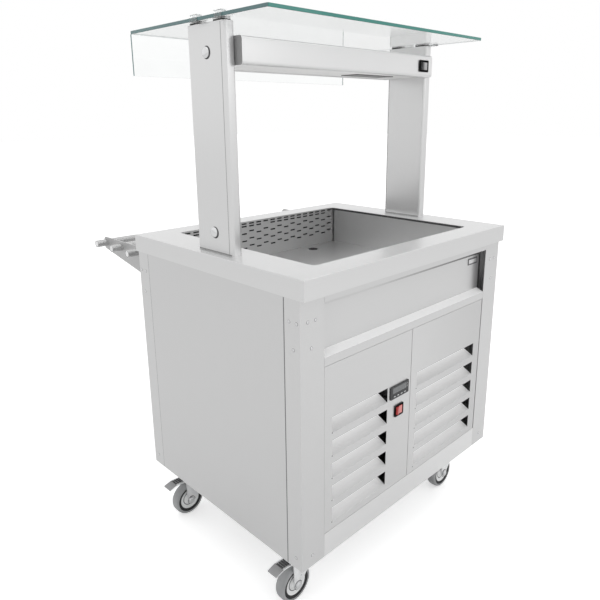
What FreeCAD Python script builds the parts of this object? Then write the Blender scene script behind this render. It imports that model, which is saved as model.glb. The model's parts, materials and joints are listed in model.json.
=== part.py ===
import FreeCAD, Part

import math
import os
import re

import Sketcher

# Mobile salad bar. Millimetres, +Z up, -Y is the operator's side with the louvres and switches,
# +Y is the customers' side with the tray slide. Every piece is drawn about the cabinet's own
# centre line on the floor, and frame_x and frame_y carry the whole part to its frame's origin.

SIZES = (
    # worktop
    ("top_width", "860", "worktop, side to side"),
    ("top_depth", "700", "worktop, front to rear"),
    ("top_height", "900", "floor to worktop"),
    ("apron_height", "48", "fold round the worktop"),
    ("apron_return", "26", "inward return under the apron"),
    ("top_gauge", "1.5", "worktop sheet"),
    ("top_bend", "2", "outer bend radius of the worktop"),
    # refrigerated well
    ("well_width", "654", "cut-out for two full-size pans"),
    ("well_depth", "555", "cut-out, front to rear"),
    ("well_corner", "12", "corner radius of the cut-out"),
    ("seal_height", "6", "thermal break under the cut-out"),
    ("seal_width", "22", "thermal break, across"),
    ("tank_setback", "10", "tank wall behind the cut-out's edge"),
    ("tank_sink", "127", "worktop to the tank's floor"),
    ("tank_gauge", "1.2", "tank sheet"),
    ("tank_rim", "13", "tank flange"),
    ("tank_corner", "15", "inside corner radius of the tank"),
    ("plenum_depth", "34", "air space behind the air plate"),
    ("drain_x", "187", "drain, right of centre"),
    ("drain_y", "236", "drain, behind centre"),
    ("drain_dish", "20", "radius of the drain's dish"),
    ("drain_bore", "13", "radius of the drain's bore"),
    ("drain_drop", "30", "length of the drain stub"),
    ("dish_sink", "6", "depth of the drain's dish"),
    # slotted air plate
    ("plate_gauge", "1.5", "air plate sheet"),
    ("plate_fold", "18", "air plate's top and bottom folds"),
    ("plate_end_gap", "5", "open gap at each end of the air plate"),
    ("slot_width", "20", "one air slot"),
    ("slot_height", "4.5", "one air slot"),
    ("slot_pitch", "30.5", "slot columns"),
    ("slot_columns", "21", "number of slot columns"),
    ("slot_shift", "6", "slot field, right of centre"),
    ("slot_first", "7.3", "worktop to the first slot row"),
    ("slot_second", "8.6", "first to second slot row"),
    ("slot_third", "16.1", "second slot row to the first staggered one"),
    ("slot_stagger", "8", "even columns to odd columns"),
    ("slot_row_pitch", "24", "staggered slot rows"),
    ("slot_rows", "4", "staggered slot rows"),
    # cabinet
    ("body_inset", "14", "cabinet face behind the worktop's edge"),
    ("base_height", "165", "floor to the cabinet's lower edge"),
    ("panel_gauge", "1.2", "cabinet sheet"),
    ("panel_fold", "15", "inward folds of the panels"),
    ("post_side", "50", "corner post, on the sides"),
    ("post_face", "76", "corner post, on front and rear"),
    ("seam_gap", "0.4", "fixed panel to corner post"),
    ("joint_gap", "1", "between the stacked front pieces"),
    # front
    ("rail_height", "19.5", "top rail of the fascia"),
    ("recess_height", "122.5", "recessed band of the fascia"),
    ("recess_depth", "22", "recessed band behind the face"),
    ("ledge_drop", "10", "slope of the ledge"),
    ("lip_height", "21.6", "lip under the ledge"),
    ("base_wall", "66", "rail under the panels"),
    ("door_edge_x", "-12.2", "left edge of the door, from centre"),
    ("door_seam", "2.5", "fixed panel to door"),
    ("door_clear", "3.5", "door's free edge to its post"),
    ("hinge_inset", "5", "hinge line inside the door's edge and face"),
    ("hinge_pin", "3", "hinge pin radius"),
    ("pin_play", "0.07", "running clearance of pins, radial"),
    ("castor_play", "0.09", "castor's axle, king pin and pedal pin, radial"),
    ("louvre_height", "41.5", "one louvre opening"),
    ("louvre_pitch", "62", "louvre rows"),
    ("louvre_count", "5", "louvre rows"),
    ("louvre_rise", "18", "blade tip above its root"),
    ("louvre_reach", "37", "blade tip behind the face"),
    ("louvre_end_slit", "0.8", "slit at each end of a blade"),
    ("louvre_margin_bottom", "19.5", "panel edge to the lowest louvre"),
    ("louvre_margin_side", "27", "panel's outer edge to the louvres"),
    ("louvre_margin_hinge", "29", "door's hinge edge to the louvres"),
    ("louvre_margin_seam", "99", "fixed panel's seam edge to the louvres"),
    # controller
    ("control_width", "80", "controller bezel"),
    ("control_height", "37", "controller bezel"),
    ("control_proud", "3", "controller bezel, proud of the panel"),
    ("control_from_seam", "50.3", "seam edge to the switches' centre line"),
    ("control_drop", "158", "panel top to the controller's centre"),
    ("control_rim", "4.5", "bezel beyond the body behind it"),
    ("control_body", "52", "body behind the panel"),
    ("body_play", "0.2", "body in its panel cut-out"),
    ("display_width", "60", "display window"),
    ("display_height", "17", "display window"),
    ("display_rise", "5", "display above the bezel's centre"),
    ("display_sink", "0.6", "display window, sunk"),
    ("key_width", "11", "one key"),
    ("key_height", "4.6", "one key"),
    ("key_pitch", "15", "between keys"),
    ("key_drop", "11.8", "keys below the bezel's centre"),
    ("key_proud", "0.7", "key, proud of the bezel"),
    ("key_depth", "2.2", "key, sunk in the bezel"),
    ("key_travel", "0.6", "key stroke"),
    ("key_play", "0.15", "key in its pocket"),
    # rocker switches
    ("main_width", "38", "main switch bezel"),
    ("main_height", "34", "main switch bezel"),
    ("main_drop", "58.5", "controller's centre to the main switch's"),
    ("main_rim", "5.5", "main switch bezel, round its rocker"),
    ("lamp_width", "47", "light switch bezel"),
    ("lamp_height", "34", "light switch bezel"),
    ("lamp_rim", "6", "light switch bezel, round its rocker"),
    ("lamp_from_end", "46", "housing end to the light switch's centre"),
    ("switch_proud", "2.8", "switch bezels, proud"),
    ("switch_body", "20", "switch bodies behind the face"),
    ("switch_wall", "1.5", "switch body wall"),
    ("rocker_play", "0.3", "rocker in its window"),
    ("rocker_sink", "4", "rocker pivot behind the bezel's front"),
    ("rocker_rise", "7", "rocker's ends in front of its pivot"),
    ("rocker_valley", "4.6", "rocker's middle in front of its pivot"),
    ("rocker_back", "5", "rocker behind its pivot"),
    ("rocker_tilt", "9", "rocker, degrees from its middle position"),
    ("trunnion", "1.5", "rocker pin radius"),
    # gantry
    ("gantry_inset", "28", "worktop's side to the post"),
    ("gantry_thick", "30", "post, side to side"),
    ("gantry_length", "145", "post, front to rear"),
    ("gantry_corner", "8", "post's corner radius"),
    ("gantry_gauge", "2", "post wall"),
    ("gantry_rise", "534", "worktop to the post's top"),
    ("gantry_y", "-4", "post centre, from the worktop's centre"),
    ("bolt_radius", "13", "domed bolt"),
    ("bolt_dome", "5", "domed bolt"),
    ("bolt_shank", "4", "shank radius"),
    ("bolt_low", "51", "worktop to the lower bolts"),
    ("bolt_high", "471", "worktop to the upper bolts"),
    ("housing_height", "63", "light housing"),
    ("housing_length", "189", "light housing, front to rear"),
    ("housing_drop", "31", "post top to the housing's top"),
    ("housing_y", "-5.5", "light housing centre"),
    ("housing_gauge", "2", "light housing wall"),
    ("housing_return", "20", "returns round the diffuser"),
    ("diffuser_gauge", "3", "diffuser sheet"),
    ("diffuser_play", "0.5", "diffuser in its housing"),
    ("lamp_drop", "0.5", "housing centre to the light switch's"),
    # glass
    ("shelf_overhang", "13.3", "glass past the post's outer face"),
    ("shelf_front", "239.2", "shelf's front edge, from centre"),
    ("shelf_rear", "311.5", "shelf's rear edge, from centre"),
    ("shelf_gauge", "8", "glass shelf"),
    ("shelf_corner", "4", "glass shelf"),
    ("screen_gauge", "6", "glass screen"),
    ("screen_drop", "104", "glass screen below the shelf"),
    ("pad_gauge", "4", "pads between posts and shelf"),
    ("pad_length", "34", "pad"),
    ("pad_width", "24", "pad"),
    ("pad_reach", "46", "pads and clips, from the post's centre"),
    ("clip_length", "28", "edge clip"),
    ("clip_gauge", "2", "edge clip"),
    ("clip_depth", "12", "edge clip over the glass"),
    ("clip_crown", "6", "edge clip's upper limb"),
    ("clip_shift", "25", "edge clip in front of its pad"),
    # tray slide
    ("slide_drop", "68", "worktop to the tubes' centres"),
    ("tube_radius", "11", "tray slide tube"),
    ("tube_gauge", "1.5", "tray slide tube wall"),
    ("tube_play", "0.08", "tube in its bracket"),
    ("slide_first", "74", "cabinet rear to the inner tube"),
    ("slide_pitch", "99.5", "between tubes"),
    ("bracket_inset", "36", "worktop's side to the bracket plate"),
    ("bracket_gauge", "4", "bracket plate"),
    ("bracket_rise", "18", "bracket above the tubes' centres"),
    ("bracket_end_drop", "18", "bracket below the outer tube's centre"),
    ("bracket_root_drop", "74", "bracket below the tubes' centres at the cabinet"),
    ("bracket_mid_drop", "61", "bracket below the tubes' centres before its slope"),
    ("bracket_end", "15", "outer tube's centre to the bracket's end"),
    ("bracket_flange", "40", "bracket's bolting flange"),
    # castors and underframe
    ("castor_inset_x", "86.7", "cabinet side to the swivel axis"),
    ("castor_inset_y", "90.5", "cabinet face to the swivel axis"),
    ("castor_height", "128", "floor to the mounting plate's top"),
    ("wheel_radius", "50", "castor wheel"),
    ("wheel_width", "30", "castor tyre"),
    ("hub_width", "34", "castor hub"),
    ("wheel_trail", "35.3", "swivel axis to the axle"),
    ("axle_radius", "6", "castor axle"),
    ("axle_head", "5", "axle head and nut"),
    ("fork_gap", "36", "between the fork's legs"),
    ("fork_gauge", "3", "fork sheet"),
    ("king_radius", "6", "king pin"),
    ("mount_gauge", "3.5", "mounting plate"),
    ("mount_length", "100", "mounting plate"),
    ("mount_width", "82", "mounting plate"),
    ("race_radius", "30", "swivel race"),
    ("race_height", "6", "swivel race"),
    ("crown_radius", "31", "fork crown"),
    ("crown_height", "10", "fork crown"),
    ("crown_gap", "0.7", "race to crown and crown to nut"),
    ("pedal_back", "40", "swivel axis to the pedal's pivot"),
    ("pedal_height", "112", "floor to the pedal's pivot"),
    ("pedal_pin", "3", "pedal pivot radius"),
    ("pedal_reach", "66", "pedal's pivot to its tip"),
    ("pedal_gauge", "3", "pedal sheet"),
    ("pedal_width", "34", "pedal"),
    ("frame_margin", "50", "underframe beyond the swivel axes"),
    ("frame_across", "84", "underframe channel"),
    ("frame_gauge", "2.5", "underframe sheet"),
    # cooling unit
    ("shell_radius", "74", "compressor shell"),
    ("shell_height", "168", "compressor shell"),
    ("shell_x", "-190", "compressor, from centre"),
    ("shell_y", "20", "compressor, from centre"),
    ("foot_height", "16", "feet of compressor and condenser"),
    ("coil_width", "290", "condenser"),
    ("coil_height", "235", "condenser"),
    ("coil_depth", "46", "condenser"),
    ("coil_x", "166", "condenser centre"),
    ("coil_behind", "70", "cabinet face to the condenser"),
    ("shroud_depth", "36", "fan shroud"),
    ("shroud_radius", "104", "fan shroud opening"),
    ("fan_radius", "98", "fan rotor"),
    ("fan_hub", "20", "fan hub radius"),
    ("fan_length", "22", "fan hub length"),
    ("fan_shaft", "4", "fan shaft radius"),
    ("fan_blades", "5", "fan blades"),
    ("motor_radius", "34", "fan motor"),
    ("motor_length", "44", "fan motor"),
    # rivets
    ("rivet_radius", "3.4", "rivet head"),
    ("rivet_height", "1.4", "rivet head"),
)

DERIVED = (
    ("half_width", "top_width / 2"),
    ("half_depth", "top_depth / 2"),
    ("body_face", "half_depth - body_inset"),
    ("post_top", "top_height - apron_height"),
    ("post_foot", "base_height + panel_gauge"),
    ("panel_half", "half_width - post_face - seam_gap"),
    ("rail_bottom", "post_top - rail_height"),
    ("recess_bottom", "rail_bottom - recess_height"),
    ("ledge_front", "recess_bottom - ledge_drop"),
    ("lip_bottom", "ledge_front - lip_height"),
    ("panel_top", "lip_bottom - joint_gap"),
    ("base_wall_top", "base_height + base_wall"),
    ("panel_bottom", "base_wall_top + joint_gap"),
    ("fixed_right", "door_edge_x - door_seam"),
    ("door_right", "half_width - post_face - door_clear"),
    ("hinge_x", "door_edge_x + hinge_inset"),
    ("control_x", "fixed_right - control_from_seam"),
    ("control_z", "panel_top - control_drop"),
    ("main_z", "control_z - main_drop"),
    ("rim_top", "top_height - top_gauge - seal_height"),
    ("tank_floor", "top_height - tank_sink"),
    ("tank_half", "well_width / 2 + tank_setback"),
    ("tank_front", "-well_depth / 2 - tank_setback"),
    ("tank_rear", "well_depth / 2 + plenum_depth"),
    ("plate_face", "well_depth / 2 + 0.3"),
    ("gantry_outer", "half_width - gantry_inset"),
    ("gantry_inner", "gantry_outer - gantry_thick"),
    ("gantry_top", "top_height + gantry_rise"),
    ("housing_top", "gantry_top - housing_drop"),
    ("housing_bottom", "housing_top - housing_height"),
    ("shelf_half", "gantry_outer + shelf_overhang"),
    ("shelf_bottom", "gantry_top + pad_gauge"),
    ("slide_height", "top_height - slide_drop"),
    ("slide_inner_y", "body_face + slide_first"),
    ("slide_outer_y", "slide_inner_y + 2 * slide_pitch"),
    ("castor_x", "half_width - castor_inset_x"),
    ("castor_y", "body_face - castor_inset_y"),
    ("race_bottom", "castor_height - mount_gauge - race_height"),
    ("crown_top", "race_bottom - crown_gap"),
    ("crown_bottom", "crown_top - crown_height"),
    ("pedal_tip", "castor_x + pedal_back + pedal_reach"),
    ("coil_front", "coil_behind - body_face"),
    ("coil_foot", "post_foot + foot_height"),
    ("fan_z", "coil_foot + coil_height / 2"),
    ("fan_y", "coil_front + coil_depth + shroud_depth / 2 - 2"),
    ("frame_x", "(pedal_tip - half_width - rivet_height) / 2"),
    ("frame_y", "(half_depth - slide_outer_y - bracket_end) / 2"),
)

DOC = FreeCAD.newDocument("SaladBar")
SHEET = DOC.addObject("Spreadsheet::Sheet", "Sizes")
NODES = []
SIZE_NAMES = {row[0] for row in SIZES} | {row[0] for row in DERIVED}
WORD = re.compile(r"[A-Za-z_][A-Za-z_0-9]*")


def sized(text):
    """Return an expression with every size written as a cell of the sheet."""
    return WORD.sub(lambda m: "Sizes." + m.group(0) if m.group(0) in SIZE_NAMES else m.group(0), str(text))


def value(text):
    """Return the number that an expression of sizes has now."""
    result = SHEET.evalExpression(sized(text))
    return float(getattr(result, "Value", result))


def bind(item, prop, text):
    """Bind one property of an object to an expression of sizes."""
    item.setExpression(prop, sized(text))


def fill_sheet():
    """Write the sizes and what follows from them."""
    for row, (name, number, note) in enumerate(SIZES, start=1):
        SHEET.set(f"A{row}", name)
        SHEET.set(f"B{row}", number)
        SHEET.set(f"C{row}", note)
        SHEET.setAlias(f"B{row}", name)
    for row, (name, formula) in enumerate(DERIVED, start=len(SIZES) + 1):
        SHEET.set(f"A{row}", name)
        SHEET.set(f"B{row}", "=" + formula)
        SHEET.setAlias(f"B{row}", name)
    DOC.recompute()


def place(item, x="0", y="0", z="0"):
    """Bind a piece's place, given about the cabinet's centre line on the floor."""
    bind(item, "Placement.Base.x", f"frame_x + ({x})")
    bind(item, "Placement.Base.y", f"frame_y + ({y})")
    bind(item, "Placement.Base.z", z)


def new_body(label, x="0", y="0", z="0"):
    """Start one piece."""
    body = DOC.addObject("PartDesign::Body", label)
    body.Label = label
    place(body, x, y, z)
    NODES.append(body)
    return body


def sketch(body, role, offset="0"):
    """Start a sketch on one of the body's own planes, moved along that plane's normal."""
    result = body.newObject("Sketcher::SketchObject", body.Name + "_sketch")
    plane = [item for item in body.Origin.OriginFeatures if item.Role == role][0]
    result.AttachmentSupport = [(plane, "")]
    result.MapMode = "FlatFace"
    bind(result, "AttachmentOffset.Base.z", offset)
    return result


def fix(drawing, kind, places, text):
    """Add one dimension that follows an expression."""
    index = drawing.addConstraint(Sketcher.Constraint(kind, *places, value(text)))
    bind(drawing, f"Constraints[{index}]", text)


def polygon(drawing, points):
    """Draw a closed outline whose corners follow expressions."""
    first = drawing.GeometryCount
    spots = [FreeCAD.Vector(value(x), value(y), 0) for x, y in points]
    count = len(points)
    for index in range(count):
        drawing.addGeometry(Part.LineSegment(spots[index], spots[(index + 1) % count]))
    for index, (x, y) in enumerate(points):
        following = first + (index + 1) % count
        drawing.addConstraint(Sketcher.Constraint("Coincident", first + index, 2, following, 1))
        fix(drawing, "DistanceX", (-1, 1, first + index, 1), x)
        fix(drawing, "DistanceY", (-1, 1, first + index, 1), y)


def rectangle(drawing, left, right, bottom, top):
    """Draw a rectangle between expressions."""
    polygon(drawing, ((left, bottom), (right, bottom), (right, top), (left, top)))


def circle(drawing, x, y, radius):
    """Draw a circle that follows expressions."""
    centre = FreeCAD.Vector(value(x), value(y), 0)
    index = drawing.addGeometry(Part.Circle(centre, FreeCAD.Vector(0, 0, 1), value(radius)))
    fix(drawing, "DistanceX", (-1, 1, index, 3), x)
    fix(drawing, "DistanceY", (-1, 1, index, 3), y)
    fix(drawing, "Radius", (index,), radius)


def rounded(drawing, left, right, bottom, top, radius):
    """Draw a rectangle with round corners that follows expressions."""
    first = drawing.GeometryCount
    x0, x1, y0, y1, r = (value(text) for text in (left, right, bottom, top, radius))
    corners = ((x1 - r, y0 + r), (x1 - r, y1 - r), (x0 + r, y1 - r), (x0 + r, y0 + r))
    sides = (
        ((x0 + r, y0), (x1 - r, y0)),
        ((x1, y0 + r), (x1, y1 - r)),
        ((x1 - r, y1), (x0 + r, y1)),
        ((x0, y1 - r), (x0, y0 + r)),
    )
    for turn, ((start, end), (cx, cy)) in enumerate(zip(sides, corners)):
        drawing.addGeometry(Part.LineSegment(FreeCAD.Vector(*start, 0), FreeCAD.Vector(*end, 0)))
        round_edge = Part.Circle(FreeCAD.Vector(cx, cy, 0), FreeCAD.Vector(0, 0, 1), r)
        begin = (turn - 1) * math.pi / 2
        drawing.addGeometry(Part.ArcOfCircle(round_edge, begin, begin + math.pi / 2))
    for index in range(8):
        following = first + (index + 1) % 8
        drawing.addConstraint(Sketcher.Constraint("Tangent", first + index, 2, following, 1))
    for index in (0, 4):
        drawing.addConstraint(Sketcher.Constraint("Horizontal", first + index))
        drawing.addConstraint(Sketcher.Constraint("Vertical", first + index + 2))
    for index in (3, 5, 7):
        drawing.addConstraint(Sketcher.Constraint("Equal", first + 1, first + index))
    fix(drawing, "Radius", (first + 1,), radius)
    fix(drawing, "DistanceY", (-1, 1, first, 1), bottom)
    fix(drawing, "DistanceX", (-1, 1, first + 2, 1), right)
    fix(drawing, "DistanceY", (-1, 1, first + 4, 1), top)
    fix(drawing, "DistanceX", (-1, 1, first + 6, 1), left)


def folded(drawing, path, gauge):
    """Draw a sheet's section: the seen side's corners, each with the way to the hidden side."""
    seen = [(x, y) for x, y, _, _ in path]
    hidden = [(f"({x}) + ({dx}) * {gauge}", f"({y}) + ({dy}) * {gauge}") for x, y, dx, dy in path]
    polygon(drawing, seen + hidden[::-1])


def pad(body, drawing, length, backward=False):
    """Add a pad along the sketch's normal, or against it."""
    feature = body.newObject("PartDesign::Pad", body.Name + "_pad")
    feature.Profile = drawing
    feature.Reversed = backward
    bind(feature, "Length", length)
    DOC.recompute()
    return feature


def pocket(body, drawing, length, forward=False):
    """Cut a pocket against the sketch's normal, or along it."""
    before = body.Shape.Volume
    feature = body.newObject("PartDesign::Pocket", body.Name + "_pocket")
    feature.Profile = drawing
    feature.Reversed = forward
    bind(feature, "Length", length)
    DOC.recompute()
    if body.Shape.Volume > before - 1e-3:
        raise ValueError(f"{body.Label}: a pocket cuts nothing")
    return feature


def revolve(body, drawing, axis):
    """Turn a sketch once round one of its own axes."""
    feature = body.newObject("PartDesign::Revolution", body.Name + "_turned")
    feature.Profile = drawing
    feature.ReferenceAxis = (drawing, [axis])
    feature.Angle = 360
    DOC.recompute()
    return feature


def fillet(body, radius, test):
    """Round the edges of the body's last feature that pass a test."""
    base = body.Tip
    names = [f"Edge{index}" for index, edge in enumerate(base.Shape.Edges, start=1) if test(edge)]
    if not names:
        raise ValueError(f"{body.Label}: no edge to round")
    feature = body.newObject("PartDesign::Fillet", body.Name + "_fillet")
    feature.Base = (base, names)
    bind(feature, "Radius", radius)
    DOC.recompute()
    return feature


def origin_axis(body, role):
    """Return one of the body's own axes as a link."""
    return ([item for item in body.Origin.OriginFeatures if item.Role == role][0], [""])


def row(body, features, role, pitch, count, role2=None, pitch2=None, count2=None):
    """Repeat features along one axis, and against a second one if it is given."""
    feature = body.newObject("PartDesign::LinearPattern", body.Name + "_row")
    feature.Originals = features
    feature.Direction = origin_axis(body, role)
    feature.Mode = "Spacing"
    bind(feature, "Offset", pitch)
    bind(feature, "Occurrences", count)
    if role2:
        feature.Direction2 = origin_axis(body, role2)
        feature.Mode2 = "Spacing"
        feature.Reversed2 = True
        bind(feature, "Offset2", pitch2)
        bind(feature, "Occurrences2", count2)
    body.Tip = feature
    DOC.recompute()
    return feature


def ring(body, features, role, count):
    """Repeat features round one axis."""
    feature = body.newObject("PartDesign::PolarPattern", body.Name + "_ring")
    feature.Originals = features
    feature.Axis = origin_axis(body, role)
    feature.Angle = 360
    bind(feature, "Occurrences", count)
    body.Tip = feature
    DOC.recompute()
    return feature


def group(label, solids):
    """Keep like solids, already placed about the centre line, as one piece."""
    item = DOC.addObject("Part::Feature", label)
    item.Label = label
    item.Shape = Part.makeCompound(solids)
    place(item)
    NODES.append(item)
    return item


def at(shape, x, y, z):
    """Return a copy of a shape moved by numbers."""
    moved = shape.copy()
    moved.translate(FreeCAD.Vector(x, y, z))
    return moved


def box(x, y, z):
    """Return a block between pairs of numbers."""
    corner = FreeCAD.Vector(x[0], y[0], z[0])
    return Part.makeBox(x[1] - x[0], y[1] - y[0], z[1] - z[0], corner)


def frustum(radius, tip, height, corners):
    """Return a many-sided frustum along +Z, which stands for a domed head."""
    rings = []
    for size, level in ((radius, 0), (tip, height)):
        points = []
        for step in range(corners + 1):
            angle = 2 * math.pi * step / corners
            points.append(FreeCAD.Vector(size * math.cos(angle), size * math.sin(angle), level))
        points[-1] = points[0]
        rings.append(Part.makePolygon(points))
    return Part.makeLoft(rings, True, True)


def turned(shape, axis):
    """Return a copy of a shape that is turned by a right angle about an axis."""
    copy = shape.copy()
    copy.rotate(FreeCAD.Vector(), axis, 90)
    return copy


# ---------------------------------------------------------------- worktop and well


def worktop():
    """Folded worktop with returns under its aprons and the cut-out of the well."""
    body = new_body("worktop")
    outline = sketch(body, "XY_Plane", "post_top")
    rectangle(outline, "-half_width", "half_width", "-half_depth", "half_depth")
    pad(body, outline, "apron_height")
    fillet(body, "top_bend", lambda edge: edge.BoundBox.ZMin > value("top_height") - 0.01)
    hollow = sketch(body, "XY_Plane", "post_top + top_gauge")
    rectangle(
        hollow,
        "-half_width + top_gauge",
        "half_width - top_gauge",
        "-half_depth + top_gauge",
        "half_depth - top_gauge",
    )
    pocket(body, hollow, "apron_height - 2 * top_gauge", forward=True)
    mouth = sketch(body, "XY_Plane", "post_top")
    rectangle(
        mouth,
        "-half_width + apron_return",
        "half_width - apron_return",
        "-half_depth + apron_return",
        "half_depth - apron_return",
    )
    pocket(body, mouth, "top_gauge", forward=True)
    well = sketch(body, "XY_Plane", "top_height")
    rounded(well, "-well_width / 2", "well_width / 2", "-well_depth / 2", "well_depth / 2", "well_corner")
    pocket(body, well, "top_gauge")


def well_seal():
    """Thermal-break frame, widened behind the air plate."""
    body = new_body("well_seal")
    drawing = sketch(body, "XY_Plane", "rim_top")
    rectangle(
        drawing,
        "-well_width / 2 - seal_width",
        "well_width / 2 + seal_width",
        "-well_depth / 2 - seal_width",
        "tank_rear + tank_rim",
    )
    inner = "well_width / 2"
    wide = "tank_half - 1"
    front = "-well_depth / 2"
    shoulder = "well_depth / 2 - 2"
    rear = "tank_rear - 4"
    polygon(
        drawing,
        (
            (f"-({inner})", front),
            (inner, front),
            (inner, shoulder),
            (wide, shoulder),
            (wide, rear),
            (f"-({wide})", rear),
            (f"-({wide})", shoulder),
            (f"-({inner})", shoulder),
        ),
    )
    pad(body, drawing, "seal_height")


def well_tank():
    """Sunk tank with its flange and its drain stub."""
    body = new_body("well_tank")
    shell = sketch(body, "XY_Plane", "tank_floor - tank_gauge")
    rounded(
        shell,
        "-tank_half - tank_gauge",
        "tank_half + tank_gauge",
        "tank_front - tank_gauge",
        "tank_rear + tank_gauge",
        "tank_corner + tank_gauge",
    )
    pad(body, shell, "rim_top - tank_floor + tank_gauge")
    rim = sketch(body, "XY_Plane", "rim_top - tank_gauge")
    rectangle(
        rim,
        "-tank_half - tank_rim",
        "tank_half + tank_rim",
        "tank_front - tank_rim",
        "tank_rear + tank_rim",
    )
    pad(body, rim, "tank_gauge")
    stub = sketch(body, "XY_Plane", "tank_floor - drain_drop")
    circle(stub, "drain_x", "drain_y", "drain_bore + 2")
    pad(body, stub, "drain_drop")
    cup = sketch(body, "XY_Plane", "tank_floor - dish_sink - 2")
    circle(cup, "drain_x", "drain_y", "drain_dish + 2")
    pad(body, cup, "dish_sink + 2")
    hollow = sketch(body, "XY_Plane", "rim_top")
    rounded(hollow, "-tank_half", "tank_half", "tank_front", "tank_rear", "tank_corner")
    pocket(body, hollow, "rim_top - tank_floor")
    dish = sketch(body, "XY_Plane", "tank_floor")
    circle(dish, "drain_x", "drain_y", "drain_dish")
    pocket(body, dish, "dish_sink")
    bore = sketch(body, "XY_Plane", "tank_floor")
    circle(bore, "drain_x", "drain_y", "drain_bore")
    pocket(body, bore, "drain_drop")


def slots(body, column, z, pitch, count, rows="1"):
    """Punch one field of air slots, beginning at a column counted from the middle one."""
    drawing = sketch(body, "XZ_Plane", "-plate_face")
    centre = f"slot_shift + ({column}) * slot_pitch"
    rectangle(
        drawing,
        f"{centre} - slot_width / 2",
        f"{centre} + slot_width / 2",
        f"{z} - slot_height / 2",
        f"{z} + slot_height / 2",
    )
    cut = pocket(body, drawing, "plate_gauge")
    if rows == "1":
        return row(body, [cut], "X_Axis", pitch, count)
    return row(body, [cut], "X_Axis", pitch, count, "Z_Axis", "slot_row_pitch", rows)


def air_plate():
    """Slotted plate between the well and its plenum, folded back at top and bottom."""
    body = new_body("air_plate")
    drawing = sketch(body, "YZ_Plane", "-tank_half + plate_end_gap")
    top = "top_height - top_gauge - 0.2"
    foot = "tank_floor + 0.2"
    folded(
        drawing,
        (
            ("plate_face + plate_fold", top, 0, -1),
            ("plate_face", top, 1, -1),
            ("plate_face", foot, 1, 1),
            ("plate_face + plate_fold", foot, 0, 1),
        ),
        "plate_gauge",
    )
    pad(body, drawing, "2 * (tank_half - plate_end_gap)")
    first = "top_height - slot_first"
    second = f"{first} - slot_second"
    even = f"{second} - slot_third"
    odd = f"{even} - slot_stagger"
    left = "-(slot_columns - 1) / 2"
    half = "(slot_columns - 3) / 2"
    slots(body, left, first, "slot_pitch", "slot_columns")
    slots(body, f"{left} + 1", second, "slot_pitch", half)
    slots(body, "1", second, "slot_pitch", half)
    slots(body, left, even, "2 * slot_pitch", "(slot_columns + 1) / 2", "slot_rows")
    slots(body, f"{left} + 1", odd, "2 * slot_pitch", "(slot_columns - 1) / 2", "slot_rows")


# ---------------------------------------------------------------- cabinet


def corner_post(label, side, face):
    """Folded corner post: side is -1 for left, face is -1 for the front."""
    body = new_body(label)
    drawing = sketch(body, "XY_Plane", "post_foot")
    outer_x = f"{side} * half_width"
    outer_y = f"{face} * body_face"
    inner_x = f"{side} * (half_width - panel_gauge)"
    inner_y = f"{face} * (body_face - panel_gauge)"
    face_end = f"{side} * (half_width - post_face)"
    side_end = f"{face} * (body_face - post_side)"
    polygon(
        drawing,
        (
            (outer_x, side_end),
            (outer_x, outer_y),
            (face_end, outer_y),
            (face_end, inner_y),
            (inner_x, inner_y),
            (inner_x, side_end),
        ),
    )
    pad(body, drawing, "post_top - post_foot")


def side_panel(label, side):
    """Skin between the corner posts, its edges folded inward."""
    body = new_body(label)
    drawing = sketch(body, "XY_Plane", "post_foot")
    outer = f"{side} * half_width"
    fold = f"{side} * (half_width - panel_fold)"
    end = "(body_face - post_side - seam_gap)"
    folded(
        drawing,
        ((fold, f"-{end}", 0, 1), (outer, f"-{end}", -side, 1), (outer, end, -side, -1), (fold, end, 0, -1)),
        "panel_gauge",
    )
    pad(body, drawing, "post_top - post_foot")


def rear_panel():
    """Skin between the rear posts, its edges folded inward."""
    body = new_body("rear_panel")
    drawing = sketch(body, "XY_Plane", "post_foot")
    fold = "body_face - panel_fold"
    folded(
        drawing,
        (
            ("-panel_half", fold, 1, 0),
            ("-panel_half", "body_face", 1, -1),
            ("panel_half", "body_face", -1, -1),
            ("panel_half", fold, -1, 0),
        ),
        "panel_gauge",
    )
    pad(body, drawing, "post_top - post_foot")


def pin_bore(body, z):
    """Bore for one of the door's hinge pins through a folded flange."""
    drawing = sketch(body, "XY_Plane", z)
    circle(drawing, "hinge_x", "hinge_inset - body_face", "hinge_pin + pin_play")
    pocket(body, drawing, "panel_gauge", forward=True)


def front_fascia():
    """Top rail, recessed band, sloping ledge and lip, one folding."""
    body = new_body("front_fascia")
    drawing = sketch(body, "YZ_Plane", "-panel_half")
    face = "-body_face"
    band = "recess_depth - body_face"
    fold = "panel_fold - body_face"
    folded(
        drawing,
        (
            (fold, "post_top", 0, -1),
            (face, "post_top", 1, -1),
            (face, "rail_bottom", 1, 1),
            (band, "rail_bottom", 1, 1),
            (band, "recess_bottom", 1, -1),
            (face, "ledge_front", 1, -1),
            (face, "lip_bottom", 1, 1),
            (fold, "lip_bottom", 0, 1),
        ),
        "panel_gauge",
    )
    pad(body, drawing, "2 * panel_half")
    pin_bore(body, "lip_bottom")


def base_pan():
    """Floor of the cabinet; its front wall is the rail under the panels."""
    body = new_body("base_pan")
    floor = sketch(body, "XY_Plane", "base_height")
    rectangle(floor, "-half_width", "half_width", "-body_face", "body_face")
    pad(body, floor, "panel_gauge")
    wall = sketch(body, "YZ_Plane", "-panel_half")
    folded(
        wall,
        (
            ("-body_face", "base_height", 1, 0),
            ("-body_face", "base_wall_top", 1, -1),
            ("panel_fold - body_face", "base_wall_top", 0, -1),
        ),
        "panel_gauge",
    )
    pad(body, wall, "2 * panel_half")
    pin_bore(body, "base_wall_top - panel_gauge")


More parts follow.
